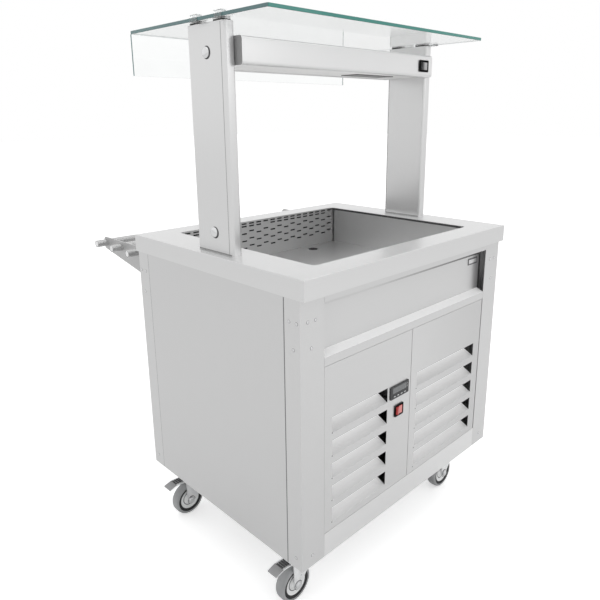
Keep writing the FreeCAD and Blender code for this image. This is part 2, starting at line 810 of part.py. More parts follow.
def tray(body, left, right):
    """Front panel with all four edges folded inward."""
    block = sketch(body, "XZ_Plane", "body_face")
    rectangle(block, left, right, "panel_bottom", "panel_top")
    pad(body, block, "panel_fold", backward=True)
    hollow = sketch(body, "XZ_Plane", "body_face - panel_fold")
    rectangle(
        hollow,
        f"{left} + panel_gauge",
        f"{right} - panel_gauge",
        "panel_bottom + panel_gauge",
        "panel_top - panel_gauge",
    )
    pocket(body, hollow, "panel_fold - panel_gauge", forward=True)


def louvres(body, left, right):
    """Cut one opening, leave its blade bent inward from the lower edge, and repeat both."""
    bottom = "panel_bottom + louvre_margin_bottom"
    window = sketch(body, "XZ_Plane", "body_face")
    rectangle(window, left, right, bottom, f"{bottom} + louvre_height")
    cut = pocket(body, window, "panel_gauge")
    blade = sketch(body, "YZ_Plane", f"{left} + louvre_end_slit")
    tip = "louvre_reach - body_face"
    polygon(
        blade,
        (
            ("-body_face", bottom),
            ("-body_face", f"{bottom} - panel_gauge"),
            (tip, f"{bottom} + louvre_rise - panel_gauge"),
            (tip, f"{bottom} + louvre_rise"),
        ),
    )
    flap = pad(body, blade, f"{right} - ({left}) - 2 * louvre_end_slit")
    row(body, [cut, flap], "Z_Axis", "louvre_pitch", "louvre_count")


def panel_hole(body, x, z, width, height):
    """Cut a device's opening in a front panel."""
    drawing = sketch(body, "XZ_Plane", "body_face")
    rectangle(
        drawing,
        f"{x} - ({width}) / 2 - body_play",
        f"{x} + ({width}) / 2 + body_play",
        f"{z} - ({height}) / 2 - body_play",
        f"{z} + ({height}) / 2 + body_play",
    )
    pocket(body, drawing, "panel_gauge")


def louvre_panel():
    """Fixed left panel with the openings for the controller and the main switch."""
    body = new_body("louvre_panel")
    tray(body, "-panel_half", "fixed_right")
    louvres(body, "-panel_half + louvre_margin_side", "fixed_right - louvre_margin_seam")
    panel_hole(
        body, "control_x", "control_z", "control_width - 2 * control_rim", "control_height - 2 * control_rim"
    )
    panel_hole(body, "control_x", "main_z", "main_width - 2 * main_rim + 2 * switch_wall",
               "main_height - 2 * main_rim + 2 * switch_wall")


def service_door():
    """Louvred door on two hinge pins at its left edge."""
    body = new_body("service_door")
    tray(body, "door_edge_x", "door_right")
    louvres(body, "door_edge_x + louvre_margin_hinge", "door_right - louvre_margin_side - 6")
    pin_length = "joint_gap + panel_gauge + 3"
    top = sketch(body, "XY_Plane", "panel_top")
    circle(top, "hinge_x", "hinge_inset - body_face", "hinge_pin")
    pad(body, top, pin_length)
    bottom = sketch(body, "XY_Plane", "panel_bottom")
    circle(bottom, "hinge_x", "hinge_inset - body_face", "hinge_pin")
    pad(body, bottom, pin_length, backward=True)


def underframe():
    """Channel ring, open upward, that carries the cabinet on its castors."""
    body = new_body("underframe")
    outer_x = "(castor_x + frame_margin)"
    outer_y = "(castor_y + frame_margin)"
    inner_x = f"({outer_x} - frame_across)"
    inner_y = f"({outer_y} - frame_across)"
    plan = sketch(body, "XY_Plane", "castor_height")
    rectangle(plan, f"-{outer_x}", outer_x, f"-{outer_y}", outer_y)
    rectangle(plan, f"-{inner_x}", inner_x, f"-{inner_y}", inner_y)
    pad(body, plan, "base_height - castor_height")
    trough = sketch(body, "XY_Plane", "base_height")
    for reach_x, reach_y, wall in ((outer_x, outer_y, "-"), (inner_x, inner_y, "+")):
        x = f"({reach_x} {wall} frame_gauge)"
        y = f"({reach_y} {wall} frame_gauge)"
        rectangle(trough, f"-{x}", x, f"-{y}", y)
    pocket(body, trough, "base_height - castor_height - frame_gauge")


def rivets():
    """Rivet heads: three at the top and one at the foot of each post face that shows."""
    radius = value("rivet_radius")
    height = value("rivet_height")
    top = value("top_height")
    foot = value("base_height")
    rows = ((24, top - 101), (48, top - 101), (35, top - 164), (35, foot + 31))
    head = frustum(radius, radius * 0.6, height, 8)
    half = value("half_width")
    face = value("body_face")
    bracket_low = value("slide_height - bracket_root_drop")
    heads = []
    for inward, z in rows:
        from_face = value("half_depth") - inward
        across = half - inward
        for sign in (-1, 1):
            side = turned(head, FreeCAD.Vector(0, sign, 0))
            front = turned(head, FreeCAD.Vector(-sign, 0, 0))
            under_bracket = sign > 0 and z > bracket_low - 10
            for other in (-1, 1):
                heads.append(at(side, sign * half, other * from_face, z))
                if not under_bracket:
                    heads.append(at(front, other * across, sign * face, z))
    group("rivets", heads)


# ---------------------------------------------------------------- controller and switches


def key_x(index):
    """Return a key's place along the bezel."""
    return f"control_x + ({index} - 2.5) * key_pitch"


def controller():
    """Controller: bezel with a sunk display and four key pockets, body behind the panel."""
    body = new_body("controller")
    x, z = "control_x", "control_z"
    front = "body_face + control_proud"
    bezel = sketch(body, "XZ_Plane", "body_face")
    rounded(
        bezel,
        f"{x} - control_width / 2",
        f"{x} + control_width / 2",
        f"{z} - control_height / 2",
        f"{z} + control_height / 2",
        "2",
    )
    pad(body, bezel, "control_proud")
    rear = sketch(body, "XZ_Plane", "body_face")
    rectangle(
        rear,
        f"{x} - control_width / 2 + control_rim",
        f"{x} + control_width / 2 - control_rim",
        f"{z} - control_height / 2 + control_rim",
        f"{z} + control_height / 2 - control_rim",
    )
    pad(body, rear, "control_body", backward=True)
    window = sketch(body, "XZ_Plane", front)
    rectangle(
        window,
        f"{x} - display_width / 2",
        f"{x} + display_width / 2",
        f"{z} + display_rise - display_height / 2",
        f"{z} + display_rise + display_height / 2",
    )
    pocket(body, window, "display_sink")
    pockets = sketch(body, "XZ_Plane", front)
    for index in range(1, 5):
        rectangle(
            pockets,
            f"{key_x(index)} - key_width / 2 - key_play",
            f"{key_x(index)} + key_width / 2 + key_play",
            f"{z} - key_drop - key_height / 2 - key_play",
            f"{z} - key_drop + key_height / 2 + key_play",
        )
    pocket(body, pockets, "key_depth + key_travel + 0.2")


def key(index):
    """One light key in its pocket."""
    body = new_body(f"key_{index}")
    drawing = sketch(body, "XZ_Plane", "body_face + control_proud - key_depth")
    rounded(
        drawing,
        f"{key_x(index)} - key_width / 2",
        f"{key_x(index)} + key_width / 2",
        "control_z - key_drop - key_height / 2",
        "control_z - key_drop + key_height / 2",
        "0.8",
    )
    pad(body, drawing, "key_depth + key_proud")


def switch_bezel(label, x, face, z, width, height, rim):
    """Rocker switch frame with its body behind the face; face is the panel's place along Y."""
    body = new_body(label, x, face, z)
    frame = sketch(body, "XZ_Plane")
    rounded(frame, f"-({width}) / 2", f"({width}) / 2", f"-({height}) / 2", f"({height}) / 2", "3")
    pad(body, frame, "switch_proud")
    inner_x = f"(({width}) / 2 - {rim})"
    inner_z = f"(({height}) / 2 - {rim})"
    rear = sketch(body, "XZ_Plane")
    rectangle(
        rear,
        f"-{inner_x} - switch_wall",
        f"{inner_x} + switch_wall",
        f"-{inner_z} - switch_wall",
        f"{inner_z} + switch_wall",
    )
    pad(body, rear, "switch_body", backward=True)
    window = sketch(body, "XZ_Plane", "switch_proud")
    rectangle(window, f"-{inner_x}", inner_x, f"-{inner_z}", inner_z)
    pocket(body, window, "switch_proud + switch_body - switch_wall")
    bores = sketch(body, "XY_Plane", f"-{inner_z} - switch_wall")
    circle(bores, "0", "rocker_sink - switch_proud", "trunnion + pin_play")
    pocket(body, bores, f"2 * ({inner_z} + switch_wall)", forward=True)


def switch_rocker(label, x, face, z, width, height, rim):
    """V-shaped rocker on two pins, tilted to its rest position."""
    body = new_body(label, x, f"{face} - switch_proud + rocker_sink", z)
    body.Placement.Rotation = FreeCAD.Rotation(FreeCAD.Vector(0, 0, 1), value("rocker_tilt"))
    inner_z = f"(({height}) / 2 - {rim})"
    reach = f"(({width}) / 2 - {rim} - rocker_play)"
    chord = f"sqrt({reach} ^ 2 - rocker_rise ^ 2)"
    back = f"sqrt({reach} ^ 2 - rocker_back ^ 2)"
    plan = sketch(body, "XY_Plane", f"-{inner_z} + rocker_play")
    polygon(
        plan,
        (
            (f"-{chord}", "-rocker_rise"),
            ("0", "-rocker_valley"),
            (chord, "-rocker_rise"),
            (f"({chord} + {reach}) / 2", "-rocker_rise * 0.45"),
            (f"{reach} - 0.2", "0"),
            (back, "rocker_back"),
            (f"-{back}", "rocker_back"),
            (f"-{reach} + 0.2", "0"),
            (f"-({chord} + {reach}) / 2", "-rocker_rise * 0.45"),
        ),
    )
    pad(body, plan, f"2 * ({inner_z} - rocker_play)")
    pins = sketch(body, "XY_Plane", f"-{inner_z} - 1")
    circle(pins, "0", "0", "trunnion")
    pad(body, pins, f"2 * {inner_z} + 2")


# ---------------------------------------------------------------- gantry and glass


def gantry_post(label, side):
    """Rounded tube on the worktop, closed at the top, bored for its two bolts."""
    body = new_body(label)
    front = "gantry_y - gantry_length / 2"
    rear = "gantry_y + gantry_length / 2"
    left, right = ("-gantry_outer", "-gantry_inner") if side < 0 else ("gantry_inner", "gantry_outer")
    outline = sketch(body, "XY_Plane", "top_height")
    rounded(outline, left, right, front, rear, "gantry_corner")
    pad(body, outline, "gantry_rise")
    hollow = sketch(body, "XY_Plane", "top_height")
    rounded(
        hollow,
        f"{left} + gantry_gauge",
        f"{right} - gantry_gauge",
        f"{front} + gantry_gauge",
        f"{rear} - gantry_gauge",
        "gantry_corner - gantry_gauge",
    )
    pocket(body, hollow, "gantry_rise - gantry_gauge", forward=True)
    bores = sketch(body, "YZ_Plane", f"{side} * gantry_outer")
    for rise in ("bolt_low", "bolt_high"):
        circle(bores, "gantry_y", f"top_height + {rise}", "bolt_shank + 0.3")
    pocket(body, bores, "gantry_gauge", forward=side < 0)


def post_bolts():
    """Four domed bolts in the posts' outer faces."""
    radius = value("bolt_radius")
    dome = value("bolt_dome")
    head = frustum(radius, radius * 0.5, dome, 12)
    shank = at(frustum(value("bolt_shank"), value("bolt_shank"), 8, 8), 0, 0, -8)
    bolt = head.fuse(shank).removeSplitter()
    bolts = []
    for side in (-1, 1):
        facing = turned(bolt, FreeCAD.Vector(0, side, 0))
        for rise in ("bolt_low", "bolt_high"):
            height = value(f"top_height + {rise}")
            bolts.append(at(facing, side * value("gantry_outer"), value("gantry_y"), height))
    group("post_bolts", bolts)


def light_housing():
    """Hollow beam between the posts, with returns that hold the diffuser."""
    body = new_body("light_housing")
    front = "housing_y - housing_length / 2"
    rear = "housing_y + housing_length / 2"
    section = sketch(body, "YZ_Plane", "-gantry_inner")
    rounded(section, front, rear, "housing_bottom", "housing_top", "gantry_corner")
    pad(body, section, "2 * gantry_inner")
    chamber = sketch(body, "XY_Plane", "housing_bottom + housing_gauge")
    rectangle(
        chamber,
        "-gantry_inner + housing_gauge",
        "gantry_inner - housing_gauge",
        f"{front} + housing_gauge",
        f"{rear} - housing_gauge",
    )
    pocket(body, chamber, "housing_height - 2 * housing_gauge", forward=True)
    mouth = sketch(body, "XY_Plane", "housing_bottom")
    rectangle(
        mouth,
        "-gantry_inner + housing_return",
        "gantry_inner - housing_return",
        f"{front} + housing_return",
        f"{rear} - housing_return",
    )
    pocket(body, mouth, "housing_gauge", forward=True)
    hole = sketch(body, "XZ_Plane", f"-({front})")
    rectangle(
        hole,
        "gantry_inner - lamp_from_end - lamp_width / 2 + lamp_rim - switch_wall - body_play",
        "gantry_inner - lamp_from_end + lamp_width / 2 - lamp_rim + switch_wall + body_play",
        "housing_top - housing_height / 2 - lamp_drop - lamp_height / 2 + lamp_rim - switch_wall - body_play",
        "housing_top - housing_height / 2 - lamp_drop + lamp_height / 2 - lamp_rim + switch_wall + body_play",
    )
    pocket(body, hole, "housing_gauge")


def light_diffuser():
    """Opal sheet lying on the housing's returns."""
    body = new_body("light_diffuser")
    drawing = sketch(body, "XY_Plane", "housing_bottom + housing_gauge")
    across = "(gantry_inner - housing_gauge - diffuser_play)"
    along = "(housing_length / 2 - housing_gauge - diffuser_play)"
    rectangle(drawing, f"-{across}", across, f"housing_y - {along}", f"housing_y + {along}")
    pad(body, drawing, "diffuser_gauge")


def glass_shelf():
    """Overshelf of toughened glass."""
    body = new_body("glass_shelf")
    drawing = sketch(body, "XY_Plane", "shelf_bottom")
    rounded(drawing, "-shelf_half", "shelf_half", "-shelf_front", "shelf_rear", "shelf_corner")
    pad(body, drawing, "shelf_gauge")


def glass_screen():
    """Hanging glass, bonded under the shelf's rear edge."""
    body = new_body("glass_screen")
    drawing = sketch(body, "XY_Plane", "shelf_bottom - screen_drop")
    rectangle(drawing, "-shelf_half", "shelf_half", "shelf_rear - screen_gauge", "shelf_rear")
    pad(body, drawing, "screen_drop")


def glass_pads():
    """Four pads between the posts and the shelf."""
    pads = []
    across = value("pad_width") / 2
    along = value("pad_length") / 2
    for side in (-1, 1):
        x = side * value("gantry_outer - gantry_thick / 2")
        for end in (-1, 1):
            y = value("gantry_y") + end * value("pad_reach")
            block = box((x - across, x + across), (y - along, y + along), (0, value("pad_gauge")))
            pads.append(at(block, 0, 0, value("gantry_top")))
    group("glass_pads", pads)


def glass_clips():
    """Four clear channels pushed on the shelf's ends beside the pads."""
    clips = []
    gauge = value("clip_gauge")
    crown = value("clip_crown")
    deep = value("clip_depth")
    along = value("clip_length") / 2
    low = value("shelf_bottom")
    high = value("shelf_bottom + shelf_gauge")
    edge = value("shelf_half")
    for side in (-1, 1):
        for end in (-1, 1):
            y = value("gantry_y") + end * value("pad_reach") - value("clip_shift")
            outer = box((edge - deep, edge + gauge), (y - along, y + along), (low - gauge, high + crown))
            slot = box((edge - deep, edge), (y - along, y + along), (low, high))
            clip = outer.cut(slot)
            if side < 0:
                clip = clip.mirror(FreeCAD.Vector(), FreeCAD.Vector(1, 0, 0))
            clips.append(clip)
    group("glass_clips", clips)


# ---------------------------------------------------------------- tray slide


def slide_tube(label, step):
    """One tube of the tray slide; step counts from the cabinet."""
    body = new_body(label)
    drawing = sketch(body, "YZ_Plane", "-half_width")
    place_y = f"slide_inner_y + {step} * slide_pitch"
    circle(drawing, place_y, "slide_height", "tube_radius")
    circle(drawing, place_y, "slide_height", "tube_radius - tube_gauge")
    pad(body, drawing, "2 * half_width")


def slide_bracket(label, side):
    """Bracket plate with its bolting flange on the rear post."""
    body = new_body(label)
    outer = "(half_width - bracket_inset + bracket_gauge / 2)"
    left = f"-{outer}" if side < 0 else f"{outer} - bracket_gauge"
    plate = sketch(body, "YZ_Plane", left)
    end = "slide_outer_y + bracket_end"
    polygon(
        plate,
        (
            ("body_face", "slide_height - bracket_root_drop"),
            ("slide_inner_y - 8", "slide_height - bracket_mid_drop"),
            (end, "slide_height - bracket_end_drop"),
            (end, "slide_height + bracket_rise"),
            ("body_face", "slide_height + bracket_rise"),
        ),
    )
    pad(body, plate, "bracket_gauge")
    flange = sketch(body, "XZ_Plane", "-body_face")
    inner = f"{side} * ({outer} - bracket_flange)"
    rim = f"{side} * {outer}"
    west, east = (rim, inner) if side < 0 else (inner, rim)
    rectangle(flange, west, east, "slide_height - bracket_root_drop", "slide_height + bracket_rise")
    pad(body, flange, "bracket_gauge", backward=True)
    fillet(body, "bracket_end - 3", lambda edge: is_outer_corner(edge))
    bores = sketch(body, "YZ_Plane", left)
    for step in range(3):
        circle(bores, f"slide_inner_y + {step} * slide_pitch", "slide_height", "tube_radius + tube_play")
    pocket(body, bores, "bracket_gauge", forward=True)


def is_outer_corner(edge):
    """Tell a bracket plate's corners at its free end."""
    across = abs(edge.BoundBox.XLength - value("bracket_gauge")) < 0.01
    return across and edge.BoundBox.YMin > value("slide_outer_y + bracket_end") - 0.01


# ---------------------------------------------------------------- castors


CORNERS = (("fl", -1, -1), ("fr", 1, -1), ("rl", -1, 1), ("rr", 1, 1))


def castor_plates():
    """Four mounting plates, each with its swivel race, king pin and nut."""
    top = value("castor_height")
    gauge = value("mount_gauge")
    long = value("mount_length") / 2
    wide = value("mount_width") / 2
    race = value("race_bottom")
    nut = value("crown_bottom - crown_gap")
    king = value("king_radius")
    plate = box((-long, long), (-wide, wide), (top - gauge, top))
    plate = plate.fuse(Part.makeCylinder(value("race_radius"), value("race_height"), FreeCAD.Vector(0, 0, race)))
    plate = plate.fuse(Part.makeCylinder(king, race - nut + 1, FreeCAD.Vector(0, 0, nut)))
    plate = plate.fuse(Part.makeCylinder(king + 4, 4, FreeCAD.Vector(0, 0, nut - 4)))
    plate = plate.removeSplitter()
    x = value("castor_x")
    y = value("castor_y")
    group("castor_plates", [at(plate, side * x, face * y, 0) for _, side, face in CORNERS])


def castor_fork(label, x, y):
    """Swivelling fork: crown, two legs with the axle and pedal pivots, and the pedal's pin."""
    body = new_body(label, x, y)
    crown = sketch(body, "XY_Plane", "crown_bottom")
    circle(crown, "0", "0", "crown_radius")
    pad(body, crown, "crown_height")
    for face in ("-fork_gap / 2 - fork_gauge", "fork_gap / 2"):
        leg = sketch(body, "XZ_Plane", face)
        polygon(
            leg,
            (
                ("crown_radius - 8", "crown_bottom + 2"),
                ("-pedal_back + 8", "pedal_height + 8"),
                ("-pedal_back - 2", "pedal_height + 8"),
                ("-pedal_back - 9", "pedal_height"),
                ("-wheel_trail - 13", "wheel_radius + 4"),
                ("-wheel_trail - 12", "wheel_radius - 7"),
                ("-wheel_trail - 7", "wheel_radius - 12"),
                ("-wheel_trail + 7", "wheel_radius - 12"),
                ("-wheel_trail + 12", "wheel_radius - 7"),
                ("-wheel_trail + 13", "wheel_radius + 2"),
            ),
        )
        pad(body, leg, "fork_gauge")
    pin = sketch(body, "XZ_Plane", "-fork_gap / 2 - fork_gauge")
    circle(pin, "-pedal_back", "pedal_height", "pedal_pin")
    pad(body, pin, "fork_gap + 2 * fork_gauge")
    axle = sketch(body, "XZ_Plane", "-fork_gap / 2 - fork_gauge")
    circle(axle, "-wheel_trail", "wheel_radius", "axle_radius + castor_play")
    pocket(body, axle, "fork_gap + 2 * fork_gauge", forward=True)
    king = sketch(body, "XY_Plane", "crown_bottom")
    circle(king, "0", "0", "king_radius + castor_play")
    pocket(body, king, "crown_height", forward=True)


def castor_axle(label, x, y):
    """Axle with its head and nut."""
    body = new_body(label, f"{x} - wheel_trail", y, "wheel_radius")
    half = "(fork_gap / 2 + fork_gauge)"
    section = sketch(body, "XY_Plane")
    polygon(
        section,
        (
            ("0", f"-{half} - axle_head"),
            ("axle_radius + 4", f"-{half} - axle_head"),
            ("axle_radius + 4", f"-{half}"),
            ("axle_radius", f"-{half}"),
            ("axle_radius", half),
            ("axle_radius + 4", half),
            ("axle_radius + 4", f"{half} + axle_head"),
            ("0", f"{half} + axle_head"),
        ),
    )
    revolve(body, section, "V_Axis")


def castor_wheel(label, x, y):
    """Wheel: hub, dished web, rim ring and rounded tyre."""
    body = new_body(label, f"{x} - wheel_trail", y, "wheel_radius")
    bore = "axle_radius + castor_play"
    edge = "wheel_width / 2"
    upper = (
        (bore, "hub_width / 2"),
        ("wheel_radius * 0.28", "hub_width / 2"),
        ("wheel_radius * 0.45", "wheel_width * 0.3"),
        ("wheel_radius * 0.74", edge),
        ("wheel_radius", f"{edge} - 5"),
    )
    lower = tuple((x_text, f"-({y_text})") for x_text, y_text in upper[::-1])
    section = sketch(body, "XY_Plane")
    polygon(section, upper + lower)
    revolve(body, section, "V_Axis")


def castor_pedal(label, x, y):
    """Brake pedal: boss on the fork's pin and a bent tread that reaches past the wheel."""
    body = new_body(label, f"{x} - pedal_back", y, "pedal_height")
    tread = sketch(body, "XZ_Plane", "-pedal_width / 2")
    folded(
        tread,
        (
            ("0", "pedal_pin + 3.5", 0, -1),
            ("-pedal_reach * 0.4", "pedal_pin + 8", 0, -1),
            ("-pedal_reach * 0.62", "pedal_pin + 8.6", 0, -1),
            ("-pedal_reach", "pedal_pin + 1.5", 0, -1),
        ),
        "pedal_gauge",
    )
    pad(body, tread, "pedal_width")
    boss = sketch(body, "XZ_Plane", "-pedal_width / 2")
    circle(boss, "0", "0", "pedal_pin + 3.5")
    pad(body, boss, "pedal_width")
    bore = sketch(body, "XZ_Plane", "-pedal_width / 2")
    circle(bore, "0", "0", "pedal_pin + castor_play")
    pocket(body, bore, "pedal_width", forward=True)


# ---------------------------------------------------------------- cooling unit


def compressor():
    """Hermetic compressor: domed shell on a footed plate."""
    body = new_body("compressor", "shell_x", "shell_y", "post_foot")
    plate = sketch(body, "XY_Plane", "foot_height - 3")
    rounded(plate, "-shell_radius - 18", "shell_radius + 18", "-shell_radius + 14", "shell_radius - 14", "10")
    pad(body, plate, "3")
    shell = sketch(body, "XZ_Plane")
    crown = "foot_height + shell_height"
    polygon(
        shell,
        (
            ("0", "foot_height - 1"),
            ("shell_radius", "foot_height - 1"),
            ("shell_radius", f"{crown} - 34"),
            ("shell_radius - 30", f"{crown} - 5"),
            ("0", crown),
        ),
    )
    revolve(body, shell, "V_Axis")
    feet = sketch(body, "XY_Plane")
    for side_x in (-1, 1):
        for side_y in (-1, 1):
            x = f"{side_x} * (shell_radius + 4)"
            y = f"{side_y} * (shell_radius - 30)"
            rectangle(feet, f"{x} - 9", f"{x} + 9", f"{y} - 9", f"{y} + 9")
    pad(body, feet, "foot_height - 1")


def condenser():
    """Condenser coil with its fan shroud, bar and motor."""
    body = new_body("condenser")
    left = "coil_x - coil_width / 2"
    right = "coil_x + coil_width / 2"
    top = "coil_foot + coil_height"
    front = "-(coil_front)"
    rear = "-(coil_front + coil_depth)"
    back = "-(coil_front + coil_depth + shroud_depth)"
    coil = sketch(body, "XZ_Plane", front)
    rectangle(coil, left, right, "coil_foot", top)
    pad(body, coil, "coil_depth", backward=True)
    shroud = sketch(body, "XZ_Plane", rear)
    rectangle(shroud, left, right, "coil_foot", top)
    circle(shroud, "coil_x", "fan_z", "shroud_radius")
    pad(body, shroud, "shroud_depth", backward=True)
    bar = sketch(body, "XZ_Plane", back)
    rectangle(bar, left, right, "fan_z - 12", "fan_z + 12")
    pad(body, bar, "3", backward=True)
    motor = sketch(body, "XZ_Plane", back)
    circle(motor, "coil_x", "fan_z", "motor_radius")
    pad(body, motor, "motor_length", backward=True)
    shaft = sketch(body, "XZ_Plane", back)
    circle(shaft, "coil_x", "fan_z", "fan_shaft")
    pad(body, shaft, "shroud_depth - 6")
    feet = sketch(body, "XZ_Plane", front)
    for side in (-1, 1):
        rectangle(
            feet,
            f"coil_x + {side} * coil_width / 3 - 20",
            f"coil_x + {side} * coil_width / 3 + 20",
            "post_foot",
            "coil_foot + 1",
        )
    pad(body, feet, "coil_depth + shroud_depth", backward=True)


def fan_rotor():
    """Fan rotor on the motor's shaft."""
    body = new_body("fan_rotor", "coil_x", "fan_y", "fan_z")
    hub = sketch(body, "XZ_Plane", "-fan_length / 2")
    circle(hub, "0", "0", "fan_hub")
    pad(body, hub, "fan_length")
    blade = sketch(body, "YZ_Plane", "fan_hub * 0.8")
    polygon(blade, (("-9", "-26"), ("-7.4", "-26"), ("9", "26"), ("7.4", "26")))
    flap = pad(body, blade, "fan_radius * 0.94 - fan_hub * 0.8")
    ring(body, [flap], "Y_Axis", "fan_blades")
    bore = sketch(body, "XZ_Plane", "-fan_length / 2")
    circle(bore, "0", "0", "fan_shaft + pin_play")
    pocket(body, bore, "fan_length", forward=True)


# ---------------------------------------------------------------- assembly


def build():
    """Build every piece."""
    worktop()
    well_seal()
    well_tank()
    air_plate()
    for name, side, face in CORNERS:
        corner_post(f"corner_post_{name}", side, face)
    side_panel("side_panel_l", -1)
    side_panel("side_panel_r", 1)
    rear_panel()
    front_fascia()
    louvre_panel()
    service_door()
    base_pan()
    underframe()
    rivets()
    controller()
    for index in range(1, 5):
        key(index)
    main = ("control_x", "-body_face", "main_z", "main_width", "main_height", "main_rim")
    lamp = (
        "gantry_inner - lamp_from_end",
        "housing_y - housing_length / 2",
        "housing_top - housing_height / 2 - lamp_drop",
        "lamp_width",
        "lamp_height",
        "lamp_rim",
    )
    switch_bezel("main_switch_bezel", *main)
    switch_rocker("main_switch_rocker", *main)
    switch_bezel("light_switch_bezel", *lamp)
    switch_rocker("light_switch_rocker", *lamp)
    gantry_post("gantry_post_l", -1)
    gantry_post("gantry_post_r", 1)
    post_bolts()
    light_housing()
    light_diffuser()
    glass_shelf()
    glass_screen()
    glass_pads()
    glass_clips()
    for step, name in enumerate(("inner", "middle", "outer")):
        slide_tube(f"slide_tube_{name}", step)
    slide_bracket("slide_bracket_l", -1)
    slide_bracket("slide_bracket_r", 1)
    castor_plates()
    for name, side, face in CORNERS:
        x = f"{side} * castor_x"
        y = f"{face} * castor_y"
        castor_fork(f"castor_fork_{name}", x, y)
        castor_axle(f"castor_axle_{name}", x, y)
        castor_wheel(f"castor_wheel_{name}", x, y)
        castor_pedal(f"castor_pedal_{name}", x, y)
    compressor()
    condenser()
    fan_rotor()


def check_and_write():
    """Check every object and piece, then write the STEP files."""
    DOC.recompute()
    for item in DOC.Objects:
        if {"Invalid", "Error"} & set(item.State):
            raise ValueError(f"{item.Label} does not recompute: {item.State}")
    os.makedirs("parts", exist_ok=True)
    for node in NODES:
        if node.Shape.isNull() or not node.Shape.isValid() or not node.Shape.Solids:
            raise ValueError(f"{node.Label} has no valid solid")
        node.Shape.exportStep(f"parts/{node.Label}.step")


fill_sheet()
build()
check_and_write()
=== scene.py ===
"""The look of a mobile salad bar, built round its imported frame."""

from __future__ import annotations

import json
import logging
import math
from contextlib import contextmanager
from dataclasses import dataclass
from enum import Enum
from functools import cache
from typing import Callable, Iterator, Sequence

import bpy
from mathutils import Matrix, Vector

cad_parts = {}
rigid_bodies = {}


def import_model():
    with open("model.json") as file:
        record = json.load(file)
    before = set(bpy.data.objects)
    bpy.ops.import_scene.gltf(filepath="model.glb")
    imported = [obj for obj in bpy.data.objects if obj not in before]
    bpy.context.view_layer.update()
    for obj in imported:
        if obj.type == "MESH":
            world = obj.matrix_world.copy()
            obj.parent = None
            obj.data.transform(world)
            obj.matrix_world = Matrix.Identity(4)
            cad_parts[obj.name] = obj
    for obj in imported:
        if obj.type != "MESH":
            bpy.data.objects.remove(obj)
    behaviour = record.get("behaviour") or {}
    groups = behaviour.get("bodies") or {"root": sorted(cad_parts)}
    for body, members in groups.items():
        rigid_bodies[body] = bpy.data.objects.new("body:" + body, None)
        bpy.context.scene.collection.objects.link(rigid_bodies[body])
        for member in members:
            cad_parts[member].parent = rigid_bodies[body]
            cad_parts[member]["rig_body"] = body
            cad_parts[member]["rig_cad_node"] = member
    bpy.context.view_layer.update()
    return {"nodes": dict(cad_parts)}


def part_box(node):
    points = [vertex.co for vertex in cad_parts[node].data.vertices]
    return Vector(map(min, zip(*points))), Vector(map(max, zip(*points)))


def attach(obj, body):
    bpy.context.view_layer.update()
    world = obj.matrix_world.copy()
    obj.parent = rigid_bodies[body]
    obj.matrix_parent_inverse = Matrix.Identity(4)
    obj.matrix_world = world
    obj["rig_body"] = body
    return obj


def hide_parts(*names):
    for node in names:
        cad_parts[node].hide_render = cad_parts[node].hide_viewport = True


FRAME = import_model()
LOG = logging.getLogger("salad_bar")
Triple = tuple[float, float, float]
Profile = Sequence[tuple[float, float]]
CORNERS = ("fl", "fr", "rl", "rr")
SIDES = (("l", -1), ("r", 1))
WHITE = (1, 1, 1, 1)
THIN = 0.0001
MERGE = 1e-6


class Axis(Enum):
    """The row axis that a turned piece is turned about."""

    X = "X"
    Y = "Y"
    Z = "Z"


Spot = tuple[Sequence[float], Axis, int]


# ------------------------------------------------------------------ modelling by hand


def deselect() -> None:
    """Leave nothing selected."""
    if bpy.context.object and bpy.context.object.mode != "OBJECT":
        bpy.ops.object.mode_set(mode="OBJECT")
    bpy.ops.object.select_all(action="DESELECT")


def activate(piece: bpy.types.Object) -> None:
    """Select one piece alone and make it active."""
    deselect()
    piece.select_set(True)
    bpy.context.view_layer.objects.active = piece


@contextmanager
def editing(piece: bpy.types.Object, faces: bool = True) -> Iterator[None]:
    """Work on a piece in edit mode.

    Args:
        piece: The mesh to edit.
        faces: Select by faces if true, else by edges.
    """
    activate(piece)
    bpy.context.tool_settings.mesh_select_mode = (False, not faces, faces)
    bpy.ops.object.mode_set(mode="EDIT")
    yield
    bpy.ops.object.mode_set(mode="OBJECT")


def pick(piece: bpy.types.Object, test: Callable[[bpy.types.MeshPolygon], bool]) -> int:
    """Select the faces of a piece that pass a test.

    Args:
        piece: The mesh, in object mode.
        test: Tells whether a face is wanted.

    Returns:
        How many faces are selected.
    """
    mesh = piece.data
    for vertex in mesh.vertices:
        vertex.select = False
    for edge in mesh.edges:
        edge.select = False
    for face in mesh.polygons:
        face.select = test(face)
    return sum(face.select for face in mesh.polygons)


def block(name: str, low: Sequence[float], high: Sequence[float]) -> bpy.types.Object:
    """Start a piece from a block between two corners.

    Args:
        name: The piece's name.
        low: The lowest corner, in metres.
        high: The highest corner, in metres.

    Returns:
        The new piece.
    """
    deselect()
    centre = [(a + b) / 2 for a, b in zip(low, high)]
    bpy.ops.mesh.primitive_cube_add(size=1, location=centre)
    piece = bpy.context.object
    piece.name = name
    piece.scale = [b - a for a, b in zip(low, high)]
    bpy.ops.object.transform_apply(location=True, rotation=True, scale=True)
    return piece


